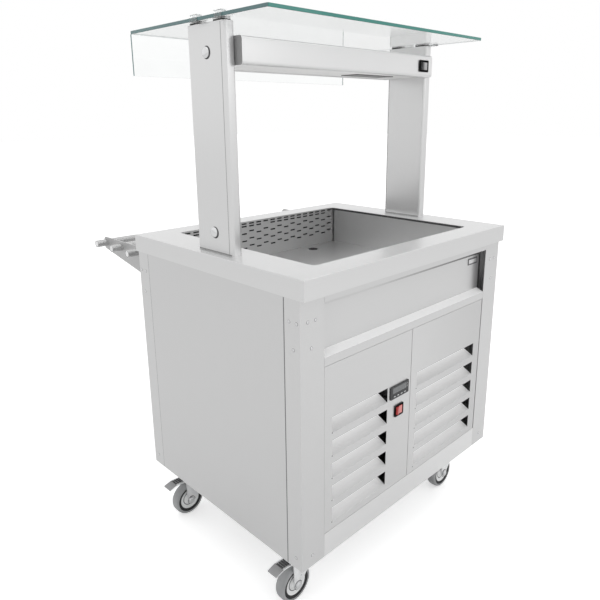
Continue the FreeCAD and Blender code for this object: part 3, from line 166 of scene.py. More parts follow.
def bevelled(
    piece: bpy.types.Object, width: float, segments: int = 2, angle: float = 30.0
) -> bpy.types.Object:
    """Round a piece's edges and shade them smooth beside flat faces.

    Args:
        piece: The mesh to round.
        width: The bevel's width, in metres.
        segments: The bevel's segments.
        angle: Edges sharper than this, in degrees, are rounded.

    Returns:
        The same piece.
    """
    activate(piece)
    bpy.ops.object.shade_smooth()
    modifier = piece.modifiers.new("round", "BEVEL")
    modifier.width = width
    modifier.segments = segments
    modifier.limit_method = "ANGLE"
    modifier.angle_limit = math.radians(angle)
    modifier.harden_normals = True
    bpy.ops.object.modifier_apply(modifier=modifier.name)
    return piece


def round_corners(piece: bpy.types.Object, axis: int, width: float, segments: int = 5) -> bpy.types.Object:
    """Round the edges of a block that run along one axis.

    Args:
        piece: The block.
        axis: 0, 1 or 2 for X, Y or Z.
        width: The corner radius, in metres.
        segments: Segments in each corner.

    Returns:
        The same piece.
    """
    with editing(piece, faces=False):
        bpy.ops.mesh.select_all(action="DESELECT")
    corners = piece.data.vertices
    for edge in piece.data.edges:
        first, second = (corners[index].co for index in edge.vertices)
        edge.select = abs((second - first).normalized()[axis]) > 0.99
    with editing(piece, faces=False):
        bpy.ops.mesh.bevel(offset=width, offset_type="OFFSET", segments=segments, profile=0.5, affect="EDGES")
    return piece


def slip(name: str, low: Sequence[float], high: Sequence[float]) -> bpy.types.Object:
    """Start a thin strip with eased edges between two corners.

    Args:
        name: The strip's name.
        low: The lowest corner, in metres.
        high: The highest corner, in metres.

    Returns:
        The strip.
    """
    return bevelled(block(name, low, high), THIN, 1)


def recess(
    piece: bpy.types.Object, low: tuple[float, float], high: tuple[float, float], depth: float
) -> None:
    """Sink a rectangle into the face of a piece that looks along -Y.

    Args:
        piece: The mesh, whose front faces -Y.
        low: The rectangle's lowest X and Z.
        high: The rectangle's highest X and Z.
        depth: How far the rectangle is sunk.
    """
    upright, level = (1, 0, 0), (0, 0, 1)
    for normal, place in ((upright, low[0]), (upright, high[0]), (level, low[1]), (level, high[1])):
        with editing(piece):
            bpy.ops.mesh.select_all(action="SELECT")
            bpy.ops.mesh.bisect(plane_co=[place * part for part in normal], plane_no=normal, use_fill=False)
    front = min(vertex.co.y for vertex in piece.data.vertices)

    def inside(face: bpy.types.MeshPolygon) -> bool:
        """Tell whether a front face lies in the rectangle."""
        centre = face.center
        return (
            face.normal.y < -0.9
            and centre.y < front + 1e-5
            and low[0] < centre.x < high[0]
            and low[1] < centre.z < high[1]
        )

    if pick(piece, inside):
        with editing(piece):
            bpy.ops.mesh.extrude_region_move(TRANSFORM_OT_translate={"value": (0, depth, 0)})


def turned(
    name: str, profile: Profile, centre: Sequence[float], axis: Axis, steps: int = 48, closed: bool = False
) -> bpy.types.Object:
    """Turn a profile by extruding and scaling one ring of edges.

    Args:
        name: The piece's name.
        profile: Radius and height pairs, in metres.
        centre: Where the profile's origin goes.
        axis: The axis that heights run along.
        steps: Points round the ring.
        closed: The profile's end meets its start, as on a tyre.

    Returns:
        The new piece.
    """
    deselect()
    radius, height = profile[0]
    bpy.ops.mesh.primitive_circle_add(vertices=steps, radius=radius, location=(0, 0, 0))
    piece = bpy.context.object
    piece.name = name
    with editing(piece, faces=False):
        bpy.ops.mesh.select_all(action="SELECT")
        bpy.ops.transform.translate(value=(0, 0, height))
        if not closed and radius > MERGE:
            bpy.ops.mesh.edge_face_add()
            bpy.ops.mesh.select_all(action="SELECT")
        for after, level in profile[1:]:
            bpy.ops.mesh.extrude_region_move(TRANSFORM_OT_translate={"value": (0, 0, level - height)})
            ratio = after / radius
            bpy.ops.transform.resize(value=(ratio, ratio, 1), center_override=(0, 0, level))
            radius, height = after, level
        bpy.ops.mesh.select_all(action="SELECT")
        bpy.ops.mesh.remove_doubles(threshold=MERGE)
        bpy.ops.mesh.normals_make_consistent(inside=False)
    if axis is Axis.Y:
        piece.rotation_euler = (math.radians(-90), 0, 0)
    elif axis is Axis.X:
        piece.rotation_euler = (0, math.radians(90), 0)
    piece.location = centre
    activate(piece)
    bpy.ops.object.transform_apply(location=True, rotation=True, scale=True)
    bpy.ops.object.shade_smooth_by_angle(angle=math.radians(38))
    return piece


def copied(piece: bpy.types.Object, name: str, move: Sequence[float]) -> bpy.types.Object:
    """Copy a piece with its own mesh and move the copy's mesh.

    Args:
        piece: What is copied.
        name: The copy's name.
        move: How far its mesh goes.

    Returns:
        The copy.
    """
    copy = piece.copy()
    copy.data = piece.data.copy()
    copy.name = name
    bpy.context.scene.collection.objects.link(copy)
    copy.data.transform(Matrix.Translation(Vector(move)))
    return copy


def joined(name: str, pieces: Sequence[bpy.types.Object]) -> bpy.types.Object:
    """Join pieces into one object.

    Args:
        name: The joined piece's name.
        pieces: What is joined.

    Returns:
        The joined piece.
    """
    deselect()
    for piece in pieces:
        piece.select_set(True)
    bpy.context.view_layer.objects.active = pieces[0]
    bpy.ops.object.join()
    result = bpy.context.object
    result.name = name
    return result


def repeated(
    name: str, profile: Profile, spots: Sequence[Spot], steps: int, closed: bool = False
) -> bpy.types.Object:
    """Turn a profile once for each way it points and copy it to every spot.

    Args:
        name: The joined piece's name.
        profile: Radius and height pairs, in metres.
        spots: Each copy's place, its axis, and 1 or -1 for the way it points.
        steps: Points round the ring.
        closed: The profile's end meets its start.

    Returns:
        All the copies, as one piece.
    """
    models: dict[tuple[Axis, int], tuple[bpy.types.Object, Vector]] = {}
    pieces = []
    for spot, axis, sign in spots:
        place = Vector(spot)
        if (axis, sign) in models:
            model, start = models[axis, sign]
            pieces.append(copied(model, name, place - start))
        else:
            shape = tuple((radius, sign * height) for radius, height in profile)
            model = turned(name, shape, place, axis, steps, closed)
            models[axis, sign] = (model, place)
            pieces.append(model)
    return joined(name, pieces)


# ------------------------------------------------------------------ finishes


def fill(tree: bpy.types.NodeTree, node: bpy.types.Node, values: dict[str | int, object]) -> None:
    """Fill a node's inputs.

    Args:
        tree: The tree that holds the node.
        node: The node.
        values: What each input gets, an output to link or a plain value.
    """
    for key, value in values.items():
        if isinstance(value, bpy.types.NodeSocket):
            tree.links.new(value, node.inputs[key])
        else:
            node.inputs[key].default_value = value


def added(
    tree: bpy.types.NodeTree, kind: str, values: dict[str | int, object], **traits: str
) -> bpy.types.Node:
    """Add a shader node.

    Args:
        tree: The tree that gets the node.
        kind: The node's type, without its ShaderNode prefix.
        values: What each input gets.
        **traits: The node's own settings, which are set before its inputs.

    Returns:
        The node.
    """
    node = tree.nodes.new("ShaderNode" + kind)
    for trait, value in traits.items():
        setattr(node, trait, value)
    fill(tree, node, values)
    return node


class Shading:
    """A material's nodes round its Principled shader."""

    def __init__(self, name: str, **uniform: float) -> None:
        """Start a node material.

        Args:
            name: The material's name.
            **uniform: Values of the shader's own sockets, named with underscores.
        """
        self.material = bpy.data.materials.new(name)
        self.material.use_nodes = True
        self.tree = self.material.node_tree
        self.shader = self.tree.nodes["Principled BSDF"]
        self.set({key.replace("_", " "): value for key, value in uniform.items()})

    def set(self, values: dict[str | int, object]) -> None:
        """Fill the shader's sockets."""
        fill(self.tree, self.shader, values)

    def place(self) -> bpy.types.NodeSocket:
        """Return the Object coordinates."""
        return added(self.tree, "TexCoord", {}).outputs["Object"]

    def noise(self, scale: float, detail: float, stretch: Triple = (1.0, 1.0, 1.0)) -> bpy.types.NodeSocket:
        """Add noise on Object coordinates.

        Args:
            scale: The noise's scale, per metre.
            detail: The noise's detail.
            stretch: The coordinates' scale along each axis.

        Returns:
            The noise, about 0.3 to 0.7.
        """
        mapping = added(self.tree, "Mapping", {"Vector": self.place(), "Scale": stretch})
        values = {"Vector": mapping.outputs["Vector"], "Scale": scale, "Detail": detail}
        return added(self.tree, "TexNoise", values).outputs["Fac"]

    def ranged(
        self, source: bpy.types.NodeSocket, low: float, high: float, span: tuple[float, float] = (0.3, 0.7)
    ) -> bpy.types.NodeSocket:
        """Map a value to a range.

        Args:
            source: The value.
            low: What the span's start becomes.
            high: What the span's end becomes.
            span: The value's own range.

        Returns:
            The mapped value.
        """
        values = {"Value": source, "From Min": span[0], "From Max": span[1], "To Min": low, "To Max": high}
        return added(self.tree, "MapRange", values).outputs["Result"]

    def fade(
        self, axis: Axis, span: tuple[float, float], ends: tuple[float, float]
    ) -> bpy.types.NodeSocket:
        """Let a value run from one place to another.

        Args:
            axis: The axis that it runs along.
            span: The places, in metres.
            ends: The values there.

        Returns:
            The value.
        """
        split = added(self.tree, "SeparateXYZ", {"Vector": self.place()})
        return self.ranged(split.outputs[axis.value], *ends, span)

    def tinted(self, source: bpy.types.NodeSocket, dark: Triple, light: Triple) -> bpy.types.NodeSocket:
        """Mix two colours by a value, 0 for the dark one and 1 for the light one."""
        values = {"A": (*dark, 1), "B": (*light, 1), "Factor": source}
        return added(self.tree, "Mix", values, data_type="RGBA").outputs["Result"]

    def mottled(self, source: bpy.types.NodeSocket, color: Triple, share: float) -> bpy.types.NodeSocket:
        """Vary a colour by a share of itself with a noise."""
        dark = tuple(part * (1 - share) for part in color)
        light = tuple(min(1.0, part * (1 + share)) for part in color)
        return self.tinted(self.ranged(source, 0.0, 1.0), dark, light)

    def finish(self, color: bpy.types.NodeSocket, rough: bpy.types.NodeSocket) -> "Shading":
        """Set the shader's colour and roughness, and return these nodes."""
        self.set({"Base Color": color, "Roughness": rough})
        return self

    def bumped(self, source: bpy.types.NodeSocket, depth: float) -> None:
        """Drive the shader's normal from a height that spans a depth in metres."""
        bump = added(self.tree, "Bump", {"Height": source, "Distance": depth, "Strength": 0.6})
        self.set({"Normal": bump.outputs["Normal"]})


class Grain(Enum):
    """The way the brush lines of a sheet run."""

    ALONG_X = (0.8, 180.0, 180.0)
    ALONG_Y = (180.0, 0.8, 180.0)
    ALONG_Z = (180.0, 180.0, 0.8)


@dataclass(frozen=True)
class BrushedSteel:
    """Fine brushed stainless sheet."""

    name: str
    grain: Grain
    tone: float
    roughness: float
    metallic: float

    def shading(self) -> Shading:
        """Return the sheet's material."""
        shading = Shading(self.name, Metallic=self.metallic)
        lines = shading.noise(9.0, 3.0, self.grain.value)
        values = {0: shading.noise(5.0, 2.0), 1: 0.35, 2: shading.ranged(lines, 0.05, 0.6)}
        blend = added(shading.tree, "Math", values, operation="MULTIPLY_ADD")
        dark = tuple(self.tone * part for part in (0.982, 0.983, 0.985))
        light = tuple(self.tone * part for part in (1.015, 1.015, 1.014))
        shading.bumped(lines, 0.0000005)
        rough = shading.ranged(lines, self.roughness - 0.004, self.roughness + 0.004)
        return shading.finish(shading.tinted(blend.outputs[0], dark, light), rough)


@dataclass(frozen=True)
class BladeSteel(BrushedSteel):
    """Louvre blades, with the light that bounces between them as a glow that grows inwards."""

    face: float = -0.472
    depth: float = 0.030
    glow: float = 0.55

    def shading(self) -> Shading:
        """Return the blades' material."""
        shading = super().shading()
        inwards = shading.fade(Axis.Y, (self.face, self.face + self.depth), (0.0, self.glow))
        shading.set({"Emission Strength": inwards, "Emission Color": WHITE})
        return shading


@dataclass(frozen=True)
class ShadedSteel(BrushedSteel):
    """Brushed sheet with painted shade that darkens it evenly from left to right."""

    tones: tuple[float, float] = (1.0, 1.0)
    span: tuple[float, float] = (-0.30, 0.36)

    def shading(self) -> Shading:
        """Return the sheet's material."""
        shading = super().shading()
        # Scale the grain colour by a left-to-right ramp: painted shade.
        grain = shading.shader.inputs["Base Color"].links[0].from_socket
        values = {0: grain, "Scale": shading.fade(Axis.X, self.span, self.tones)}
        shade = added(shading.tree, "VectorMath", values, operation="SCALE")
        shading.set({"Base Color": shade.outputs["Vector"]})
        return shading


@dataclass(frozen=True)
class BrightMetal:
    """Zinc-plated or turned metal with faint blotches."""

    name: str
    color: Triple
    roughness: float
    mottle: float = 0.05
    metallic: float = 1.0

    def shading(self) -> Shading:
        """Return the metal's material."""
        shading = Shading(self.name, Metallic=self.metallic)
        noise = shading.noise(60.0, 5.0)
        shading.bumped(noise, 0.000004)
        rough = shading.ranged(noise, self.roughness * 0.85, self.roughness * 1.2)
        return shading.finish(shading.mottled(noise, self.color, self.mottle), rough)


@dataclass(frozen=True)
class Moulded:
    """Moulded plastic, rubber or enamel with a fine grain."""

    name: str
    color: Triple
    roughness: float
    grain: float = 900.0
    depth: float = 0.00003
    variation: float = 0.08
    coat: float = 0.0

    def shading(self) -> Shading:
        """Return the plastic's material."""
        shading = Shading(self.name, Coat_Weight=self.coat)
        fine = shading.noise(self.grain, 3.0)
        shading.bumped(fine, self.depth)
        rough = shading.ranged(fine, self.roughness * 0.85, self.roughness * 1.15)
        return shading.finish(shading.mottled(shading.noise(25.0, 3.0), self.color, self.variation), rough)


@dataclass(frozen=True)
class ClearSheet:
    """Glass or clear plastic, with faint waviness."""

    name: str
    color: Triple
    roughness: float = 0.0
    ior: float = 1.5
    transmission: float = 1.0

    def shading(self) -> Shading:
        """Return the sheet's material."""
        shading = Shading(self.name, Transmission_Weight=self.transmission, IOR=self.ior)
        noise = shading.noise(14.0, 2.0)
        dark = tuple(part * 0.985 for part in self.color)
        color = shading.tinted(shading.ranged(noise, 0.0, 1.0), dark, self.color)
        return shading.finish(color, shading.ranged(noise, self.roughness, self.roughness + 0.01))


@dataclass(frozen=True)
class Finned:
    """Aluminium fins seen edge on, as pale stripes across the coil's face, with painted shade in the dark
    stripes between them.
    """

    name: str
    pitch: float = 0.0025

    def shading(self) -> Shading:
        """Return the fins' material."""
        shading = Shading(self.name, Metallic=0.7, Roughness=0.4)
        values = {"Vector": shading.place(), "Scale": 0.314 / self.pitch, "Distortion": 0.4}
        wave = added(shading.tree, "TexWave", values, bands_direction="X").outputs["Fac"]
        # The dark stripes are painted shade in the gaps between the fins.
        shading.set({"Base Color": shading.tinted(wave, (0.05, 0.05, 0.055), (0.55, 0.56, 0.57))})
        shading.bumped(wave, 0.0005)
        return shading


@dataclass(frozen=True)
class LitFloor:
    """A matt floor that the camera sees brighter than its lamps make it."""

    name: str
    tone: float
    lift: float

    def shading(self) -> Shading:
        """Return the floor's material."""
        shading = Shading(self.name, Roughness=1.0, Specular_IOR_Level=0.0)
        seen = added(shading.tree, "LightPath", {}).outputs["Is Camera Ray"]
        gain = added(shading.tree, "Math", {0: seen, 1: self.lift}, operation="MULTIPLY")
        color = (self.tone, self.tone, self.tone, 1)
        shading.set({"Base Color": color, "Emission Color": WHITE, "Emission Strength": gain.outputs[0]})
        return shading


class Finish(Enum):
    """Every finish of the salad bar and its studio."""

    # The top, front and side sheets are one steel; their tones differ as painted light, the top lightest and
    # the sides darkest.
    TOP = BrushedSteel("steel_top", Grain.ALONG_X, 0.70, 0.28, 0.7)
    FRONT = BrushedSteel("steel_front", Grain.ALONG_X, 0.65, 0.32, 0.7)
    SIDE = BrushedSteel("steel_side", Grain.ALONG_Z, 0.635, 0.32, 0.7)
    WELL = BrushedSteel("steel_well", Grain.ALONG_X, 0.72, 0.30, 0.85)
    # The air plate's darkening towards the right is painted shade.
    PLATE = ShadedSteel("steel_air_plate", Grain.ALONG_X, 1.0, 0.5, 0.3, (0.56, 0.36), (-0.28, 0.30))
    RAIL = BrushedSteel("steel_rail", Grain.ALONG_X, 0.76, 0.32, 0.7)
    # A band that darkens towards the right: painted shadow under the fascia's top rail.
    RAIL_SHADOW = ShadedSteel("steel_painted_under_rail_shadow", Grain.ALONG_X, 1.0, 0.45, 0.4, (0.62, 0.10), (-0.15, 0.36))
    # The service door's darkening towards the right is painted shade.
    FRONT_RIGHT = ShadedSteel("steel_door", Grain.ALONG_X, 1.0, 0.32, 0.7, (0.655, 0.575), (0.02, 0.36))
    BLADE = BladeSteel("steel_blade", Grain.ALONG_X, 0.72, 0.5, 0.3)
    # A paler copy of the front steel: painted light on the ledge's upward faces.
    LEDGE_LIGHT = BrushedSteel("steel_ledge_painted_light", Grain.ALONG_X, 0.95, 0.45, 0.1)
    POST = BrushedSteel("steel_post", Grain.ALONG_Z, 0.71, 0.28, 0.75)
    BEAM = BrushedSteel("steel_beam", Grain.ALONG_X, 0.76, 0.28, 0.75)
    TUBE = BrushedSteel("drawn_tube", Grain.ALONG_X, 0.50, 0.27, 0.65)
    BRACKET = BrushedSteel("steel_bracket", Grain.ALONG_Y, 0.50, 0.4, 0.6)
    ZINC = BrightMetal("zinc_plate", (0.86, 0.865, 0.87), 0.32, 0.08, 0.7)
    BOLT = BrightMetal("turned_bolt", (0.72, 0.725, 0.73), 0.14)
    GLASS = ClearSheet("glass_sheet", (0.975, 0.985, 0.983), 0.0, 1.25)
    GLASS_EDGE = ClearSheet("glass_front_edge", (0.055, 0.29, 0.245), 0.12, 1.5, 0.2)
    # Darker than the front edge: painted shade on the panes' side edges.
    SIDE_EDGE_SHADE = ClearSheet("glass_side_edge_painted_shade", (0.13, 0.235, 0.24), 0.12, 1.5, 0.2)
    PALE_EDGE = ClearSheet("glass_pale_edge", (0.85, 0.88, 0.875), 0.15, 1.45, 0.7)
    CLIP = ClearSheet("clear_plastic", (0.90, 0.925, 0.925), 0.12, 1.45, 0.9)
    BLACK = Moulded("black_plastic", (0.022, 0.022, 0.024), 0.38)
    # Real black rubber on the glass pads, and painted shade in the air plate's slots and down the drain.
    PAD_AND_SHADE = Moulded("black_rubber_and_painted_shade", (0.018, 0.018, 0.018), 0.6)
    # The well's real seal, and painted shade in the relief holes and round the bolts.
    SEAL_AND_SHADE = Moulded("thermal_break_and_painted_shade", (0.05, 0.05, 0.052), 0.5)
    DISPLAY = Moulded("display_window", (0.12, 0.125, 0.13), 0.12, 300.0, 0.000005, 0.12, 0.6)
    KEY = Moulded("key_plastic", (0.72, 0.73, 0.73), 0.4)
    MARK = Moulded("marking", (0.80, 0.80, 0.80), 0.5)
    RED = Moulded("red_rocker", (0.55, 0.035, 0.03), 0.22, 600.0, 0.00001, 0.1, 0.3)
    TYRE = Moulded("grey_tread", (0.33, 0.335, 0.34), 0.5, 700.0, 0.00004, 0.1)
    RING = Moulded("dark_rim_ring", (0.012, 0.012, 0.013), 0.6)
    # Painted shade on the pedals' lips.
    LIP_SHADE = Moulded("pedal_lip", (0.36, 0.36, 0.365), 0.4)
    JOINT = Moulded("joint_shadow", (0.14, 0.14, 0.145), 0.5)
    HUB = Moulded("pale_hub", (0.84, 0.845, 0.845), 0.38)
    TREAD = Moulded("pedal_tread", (0.085, 0.085, 0.088), 0.5, 500.0, 0.00008)
    OPAL = Moulded("opal_sheet", (0.86, 0.86, 0.85), 0.35, 400.0, 0.00001, 0.02)
    # The compressor's real enamel, and painted shade behind the air plate's slots.
    ENAMEL_AND_SHADE = Moulded("black_enamel_and_painted_shade", (0.02, 0.02, 0.022), 0.3, 250.0, 0.00004, 0.1, 0.4)
    FINS = Finned("coil_fins")
    BADGE = Moulded("bare_badge", (0.10, 0.10, 0.105), 0.3, 500.0, 0.00001, 0.1, 0.3)
    SHADE = BrushedSteel("steel_in_shade", Grain.ALONG_Z, 0.30, 0.4, 0.3)
    # The rear joint lines' dark gap, and painted shade round the rivets.
    GAP_AND_SHADE = BrightMetal("dark_gap_and_painted_shade", (0.30, 0.30, 0.305), 0.45)
    # Paler copies of the rocker plastics: painted highlights.
    RED_HIGHLIGHT = Moulded("red_rocker_painted_highlight", (0.66, 0.20, 0.19), 0.2, 600.0, 0.00001, 0.1, 0.4)
    BLACK_HIGHLIGHT = Moulded("black_rocker_painted_highlight", (0.36, 0.36, 0.365), 0.2, 600.0, 0.00001, 0.1, 0.4)
    FLOOR = LitFloor("studio_floor", 0.95, 0.42)


@cache
def made(finish: Finish) -> bpy.types.Material:
    """Return a finish's material, made when it is first asked for."""
    return finish.value.shading().material


def dress(piece: bpy.types.Object, *finishes: Finish) -> bpy.types.Object:
    """Give a piece its finishes.

    Args:
        piece: The piece, CAD node or new.
        *finishes: The finishes, in slot order.

    Returns:
        The same piece.
    """
    piece.data.materials.clear()
    for finish in finishes:
        piece.data.materials.append(made(finish))
    return piece


def touch_up(
    piece: bpy.types.Object, finish: Finish, test: Callable[[bpy.types.MeshPolygon], bool]
) -> None:
    """Give some faces of a one-finish piece a second finish.

    Args:
        piece: The piece.
        finish: The second finish.
        test: Tells whether a face gets it.
    """
    piece.data.materials.append(made(finish))
    for face in piece.data.polygons:
        if test(face):
            face.material_index = 1


def refined(
    node: str, body: str, finish: Finish, width: float = 0.0, segments: int = 2
) -> bpy.types.Object:
    """Stand a merged, rounded and smooth copy in for a CAD node.

    Args:
        node: The CAD node.
        body: The body that it rides on.
        finish: The copy's finish.
        width: The width of its rounded edges, or 0 for none.
        segments: Segments across a rounded edge.

    Returns:
        The copy.
    """
    source = FRAME["nodes"][node]
    piece = source.copy()
    piece.data = source.data.copy()
    piece.parent = None
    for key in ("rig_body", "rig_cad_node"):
        if key in piece:
            del piece[key]
    piece.name = node + "_fine"
    bpy.context.scene.collection.objects.link(piece)
    with editing(piece):
        bpy.ops.mesh.select_all(action="SELECT")
        bpy.ops.mesh.remove_doubles(threshold=MERGE)
        bpy.ops.mesh.dissolve_limited(angle_limit=math.radians(0.6))
    if piece.data.has_custom_normals:
        bpy.ops.mesh.customdata_custom_splitnormals_clear()
    activate(piece)
    if width:
        bevelled(piece, width, segments)
    else:
        bpy.ops.object.shade_smooth_by_angle(angle=math.radians(32))
    dress(piece, finish)
    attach(piece, body)
    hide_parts(node)
    return piece


def keep(node: str, finish: Finish) -> None:
    """Give a CAD node that stays its finish and report it."""
    dress(FRAME["nodes"][node], finish)
    LOG.info("kept %s", node)


def ride(piece: bpy.types.Object, body: str, *nodes: str) -> bpy.types.Object:
    """Put a new piece on its body, in place of CAD nodes if any are named.

    Args:
        piece: The finished piece.
        body: The body that carries it.
        *nodes: The CAD nodes that it stands for.

    Returns:
        The same piece.
    """
    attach(piece, body)
    if nodes:
        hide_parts(*nodes)
    LOG.info("made %s on %s", piece.name, body)
    return piece


def laid(piece: bpy.types.Object, finish: Finish, body: str = "cabinet", *nodes: str) -> None:
    """Finish a new piece and put it on its body.

    Args:
        piece: The modelled piece.
        finish: Its only finish.
        body: The body that carries it.
        *nodes: The CAD nodes that it stands for.
    """
    ride(dress(piece, finish), body, *nodes)


def middle(node: str) -> Vector:
    """Return the middle of a CAD node's box."""
    low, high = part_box(node)
    return (low + high) / 2


# ------------------------------------------------------------------ sub-assemblies


@dataclass
class Cabinet:
    """Worktop, well, skins and louvred front."""

    badge_size: Triple = (0.052, 0.0012, 0.020)
    badge_inset: float = 0.012
    badge_top: float = 0.8115
    badge_rim: float = 0.0042
    drain: Triple = (0.19595, 0.099, 0.7730)
    drain_shade: Profile = (
        (0.0146, -0.0058), (0.0146, 0.0), (0.0138, 0.0002), (0.0130, -0.0008), (0.0001, -0.0012),
    )
    recess_depth: float = 0.022
    ledge_top: float = 0.72
    shadow_band_levels: tuple[float, float] = (0.8175, 0.8259)
    joint_levels: tuple[float, float] = (0.6779, 0.2315)
    joint_half: float = 0.0003
    door_strip_height: float = 0.455
    slot_area: float = 0.0005
    louvres: int = 5
    louvre_corner: tuple[float, float] = (0.027, 0.0195)
    louvre_pitch: float = 0.062
    relief: Profile = ((0.0016, 0.0002), (0.0016, -0.0001), (0.0010, -0.0002), (0.0001, -0.0002))

    def build(self) -> None:
        """Dress and refine the sheet-metal pieces."""
        refined("worktop", "cabinet", Finish.TOP)
        for corner in CORNERS:
            refined(f"corner_post_{corner}", "cabinet", Finish.FRONT)
        for side, _ in SIDES:
            refined(f"side_panel_{side}", "cabinet", Finish.SIDE)
        refined("rear_panel", "cabinet", Finish.FRONT)
        fascia = refined("front_fascia", "cabinet", Finish.FRONT)
        # The faces of the ledge that look up get painted light.
        touch_up(fascia, Finish.LEDGE_LIGHT, lambda face: face.normal.z > 0.3 and face.center.z < self.ledge_top)
        refined("base_pan", "cabinet", Finish.RAIL)
        self.louvred("louvre_panel", "cabinet", Finish.FRONT)
        self.louvred("service_door", "door", Finish.FRONT_RIGHT)
        refined("well_tank", "cabinet", Finish.WELL)
        self.air_plate()
        keep("well_seal", Finish.SEAL_AND_SHADE)
        keep("underframe", Finish.ZINC)
        self.badge()
        self.seams()
        self.shades()

    def air_plate(self) -> None:
        """Refine the air plate and paint shade on the walls of its slots in black."""
        plate = refined("air_plate", "cabinet", Finish.PLATE)
        low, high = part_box("air_plate")

        def is_wall(face: bpy.types.MeshPolygon) -> bool:
            """Tell whether a face is a slot's wall."""
            inside = low.z + 0.003 < face.center.z < high.z - 0.003
            return inside and abs(face.normal.y) < 0.9 and face.area < self.slot_area

        # The slot walls get the black finish as painted shade inside the slots.
        touch_up(plate, Finish.PAD_AND_SHADE, is_wall)

    def louvred(self, node: str, body: str, sheet: Finish) -> None:
        """Refine a louvred panel and its blades, and put dark dots of painted shade at the relief holes in
        their corners.

        Args:
            node: The CAD node.
            body: The body that it rides on.
            sheet: The panel's finish.
        """
        piece = refined(node, body, sheet)
        low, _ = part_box(node)

        def is_blade(face: bpy.types.MeshPolygon) -> bool:
            """Tell whether a face is a blade's slanting front."""
            return face.center.y > low.y + 0.002 and face.normal.z > 0.3 and face.normal.y < -0.2

        touch_up(piece, Finish.BLADE, is_blade)
        # Each relief hole is a dark dot of painted shade.
        inset, rise = self.louvre_corner
        spots = []
        for step in range(self.louvres):
            spots.append(((low.x + inset, low.y, low.z + rise + step * self.louvre_pitch), Axis.Y, 1))
        laid(repeated(f"{node}_reliefs", self.relief, spots, 16), Finish.SEAL_AND_SHADE, body)

    def seams(self) -> None:
        """Lay the joint lines beside all four posts and the door's bright edge."""
        lines = {"f": [], "r": []}
        for side, sign in SIDES:
            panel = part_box(f"side_panel_{side}")
            face = panel[0].x if sign < 0 else panel[1].x
            near, far = sorted((face + sign * 0.00015, face - sign * 0.0006))
            for end, place, half in (("f", panel[0].y, 0.0014), ("r", panel[1].y, 0.0005)):
                low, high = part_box(f"corner_post_{end}{side}")
                start, stop = (near, place - half, low.z + 0.001), (far, place + half, high.z - 0.001)
                lines[end].append(slip("seam", start, stop))
        laid(joined("front_joint_lines", lines["f"]), Finish.JOINT)
        laid(joined("rear_joint_lines", lines["r"]), Finish.GAP_AND_SHADE)
        low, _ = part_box("service_door")
        start = (low.x - 0.0009, low.y + 0.0007, low.z)
        stop = (low.x, low.y + 0.0015, low.z + self.door_strip_height)
        laid(slip("door_edge_strip", start, stop), Finish.FRONT, "door")

    def shades(self) -> None:
        """Add painted shade: a black sheet behind the slots, a black disc down the drain and a painted shadow
        under the rail; then the panel joint strips.
        """
        low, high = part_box("air_plate")
        # A black sheet behind the air plate: painted shade seen through its slots.
        plenum = block(
            "plenum_shade",
            (low.x + 0.004, high.y + 0.0012, low.z + 0.004),
            (high.x - 0.004, high.y + 0.0022, high.z - 0.002),
        )
        laid(bevelled(plenum, 0.0003, 1), Finish.ENAMEL_AND_SHADE)
        # A strainer-shaped black disc: painted shade down the drain's bore.
        laid(turned("drain_shade_disc", self.drain_shade, self.drain, Axis.Z, 40), Finish.PAD_AND_SHADE)
        low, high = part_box("front_fascia")
        back = low.y + self.recess_depth
        # A strip under the top rail that darkens towards the right: painted shadow.
        bottom, top = self.shadow_band_levels
        start, stop = (low.x + 0.003, back - 0.0005, bottom), (high.x - 0.003, back - 0.0001, top)
        laid(slip("painted_shadow_under_rail", start, stop), Finish.RAIL_SHADOW)
        strips = []
        for level in self.joint_levels:
            start = (low.x + 0.0005, low.y + 0.0008, level - self.joint_half)
            stop = (high.x - 0.001, low.y + 0.0014, level + self.joint_half)
            strips.append(slip("strip", start, stop))
        laid(joined("panel_joint_strips", strips), Finish.FRONT)

    def badge(self) -> None:
        """Add the bare plate at the right of the recessed band."""
        low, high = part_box("front_fascia")
        right, back = high.x - self.badge_inset, low.y + self.recess_depth
        width, thick, height = self.badge_size
        left, top, bottom = right - width, self.badge_top, self.badge_top - height
        plate = block("badge_plate", (left, back - thick, bottom), (right, back - 0.0001, top))
        round_corners(plate, 1, 0.002, 3)
        laid(bevelled(plate, 0.0003, 2), Finish.BADGE)
        rim, face = self.badge_rim, back - thick
        start, stop = (left + rim, face - 0.0003, bottom + rim), (right - rim, face + 0.0004, top - rim)
        laid(round_corners(block("badge_panel", start, stop), 1, 0.001, 3), Finish.BEAM)


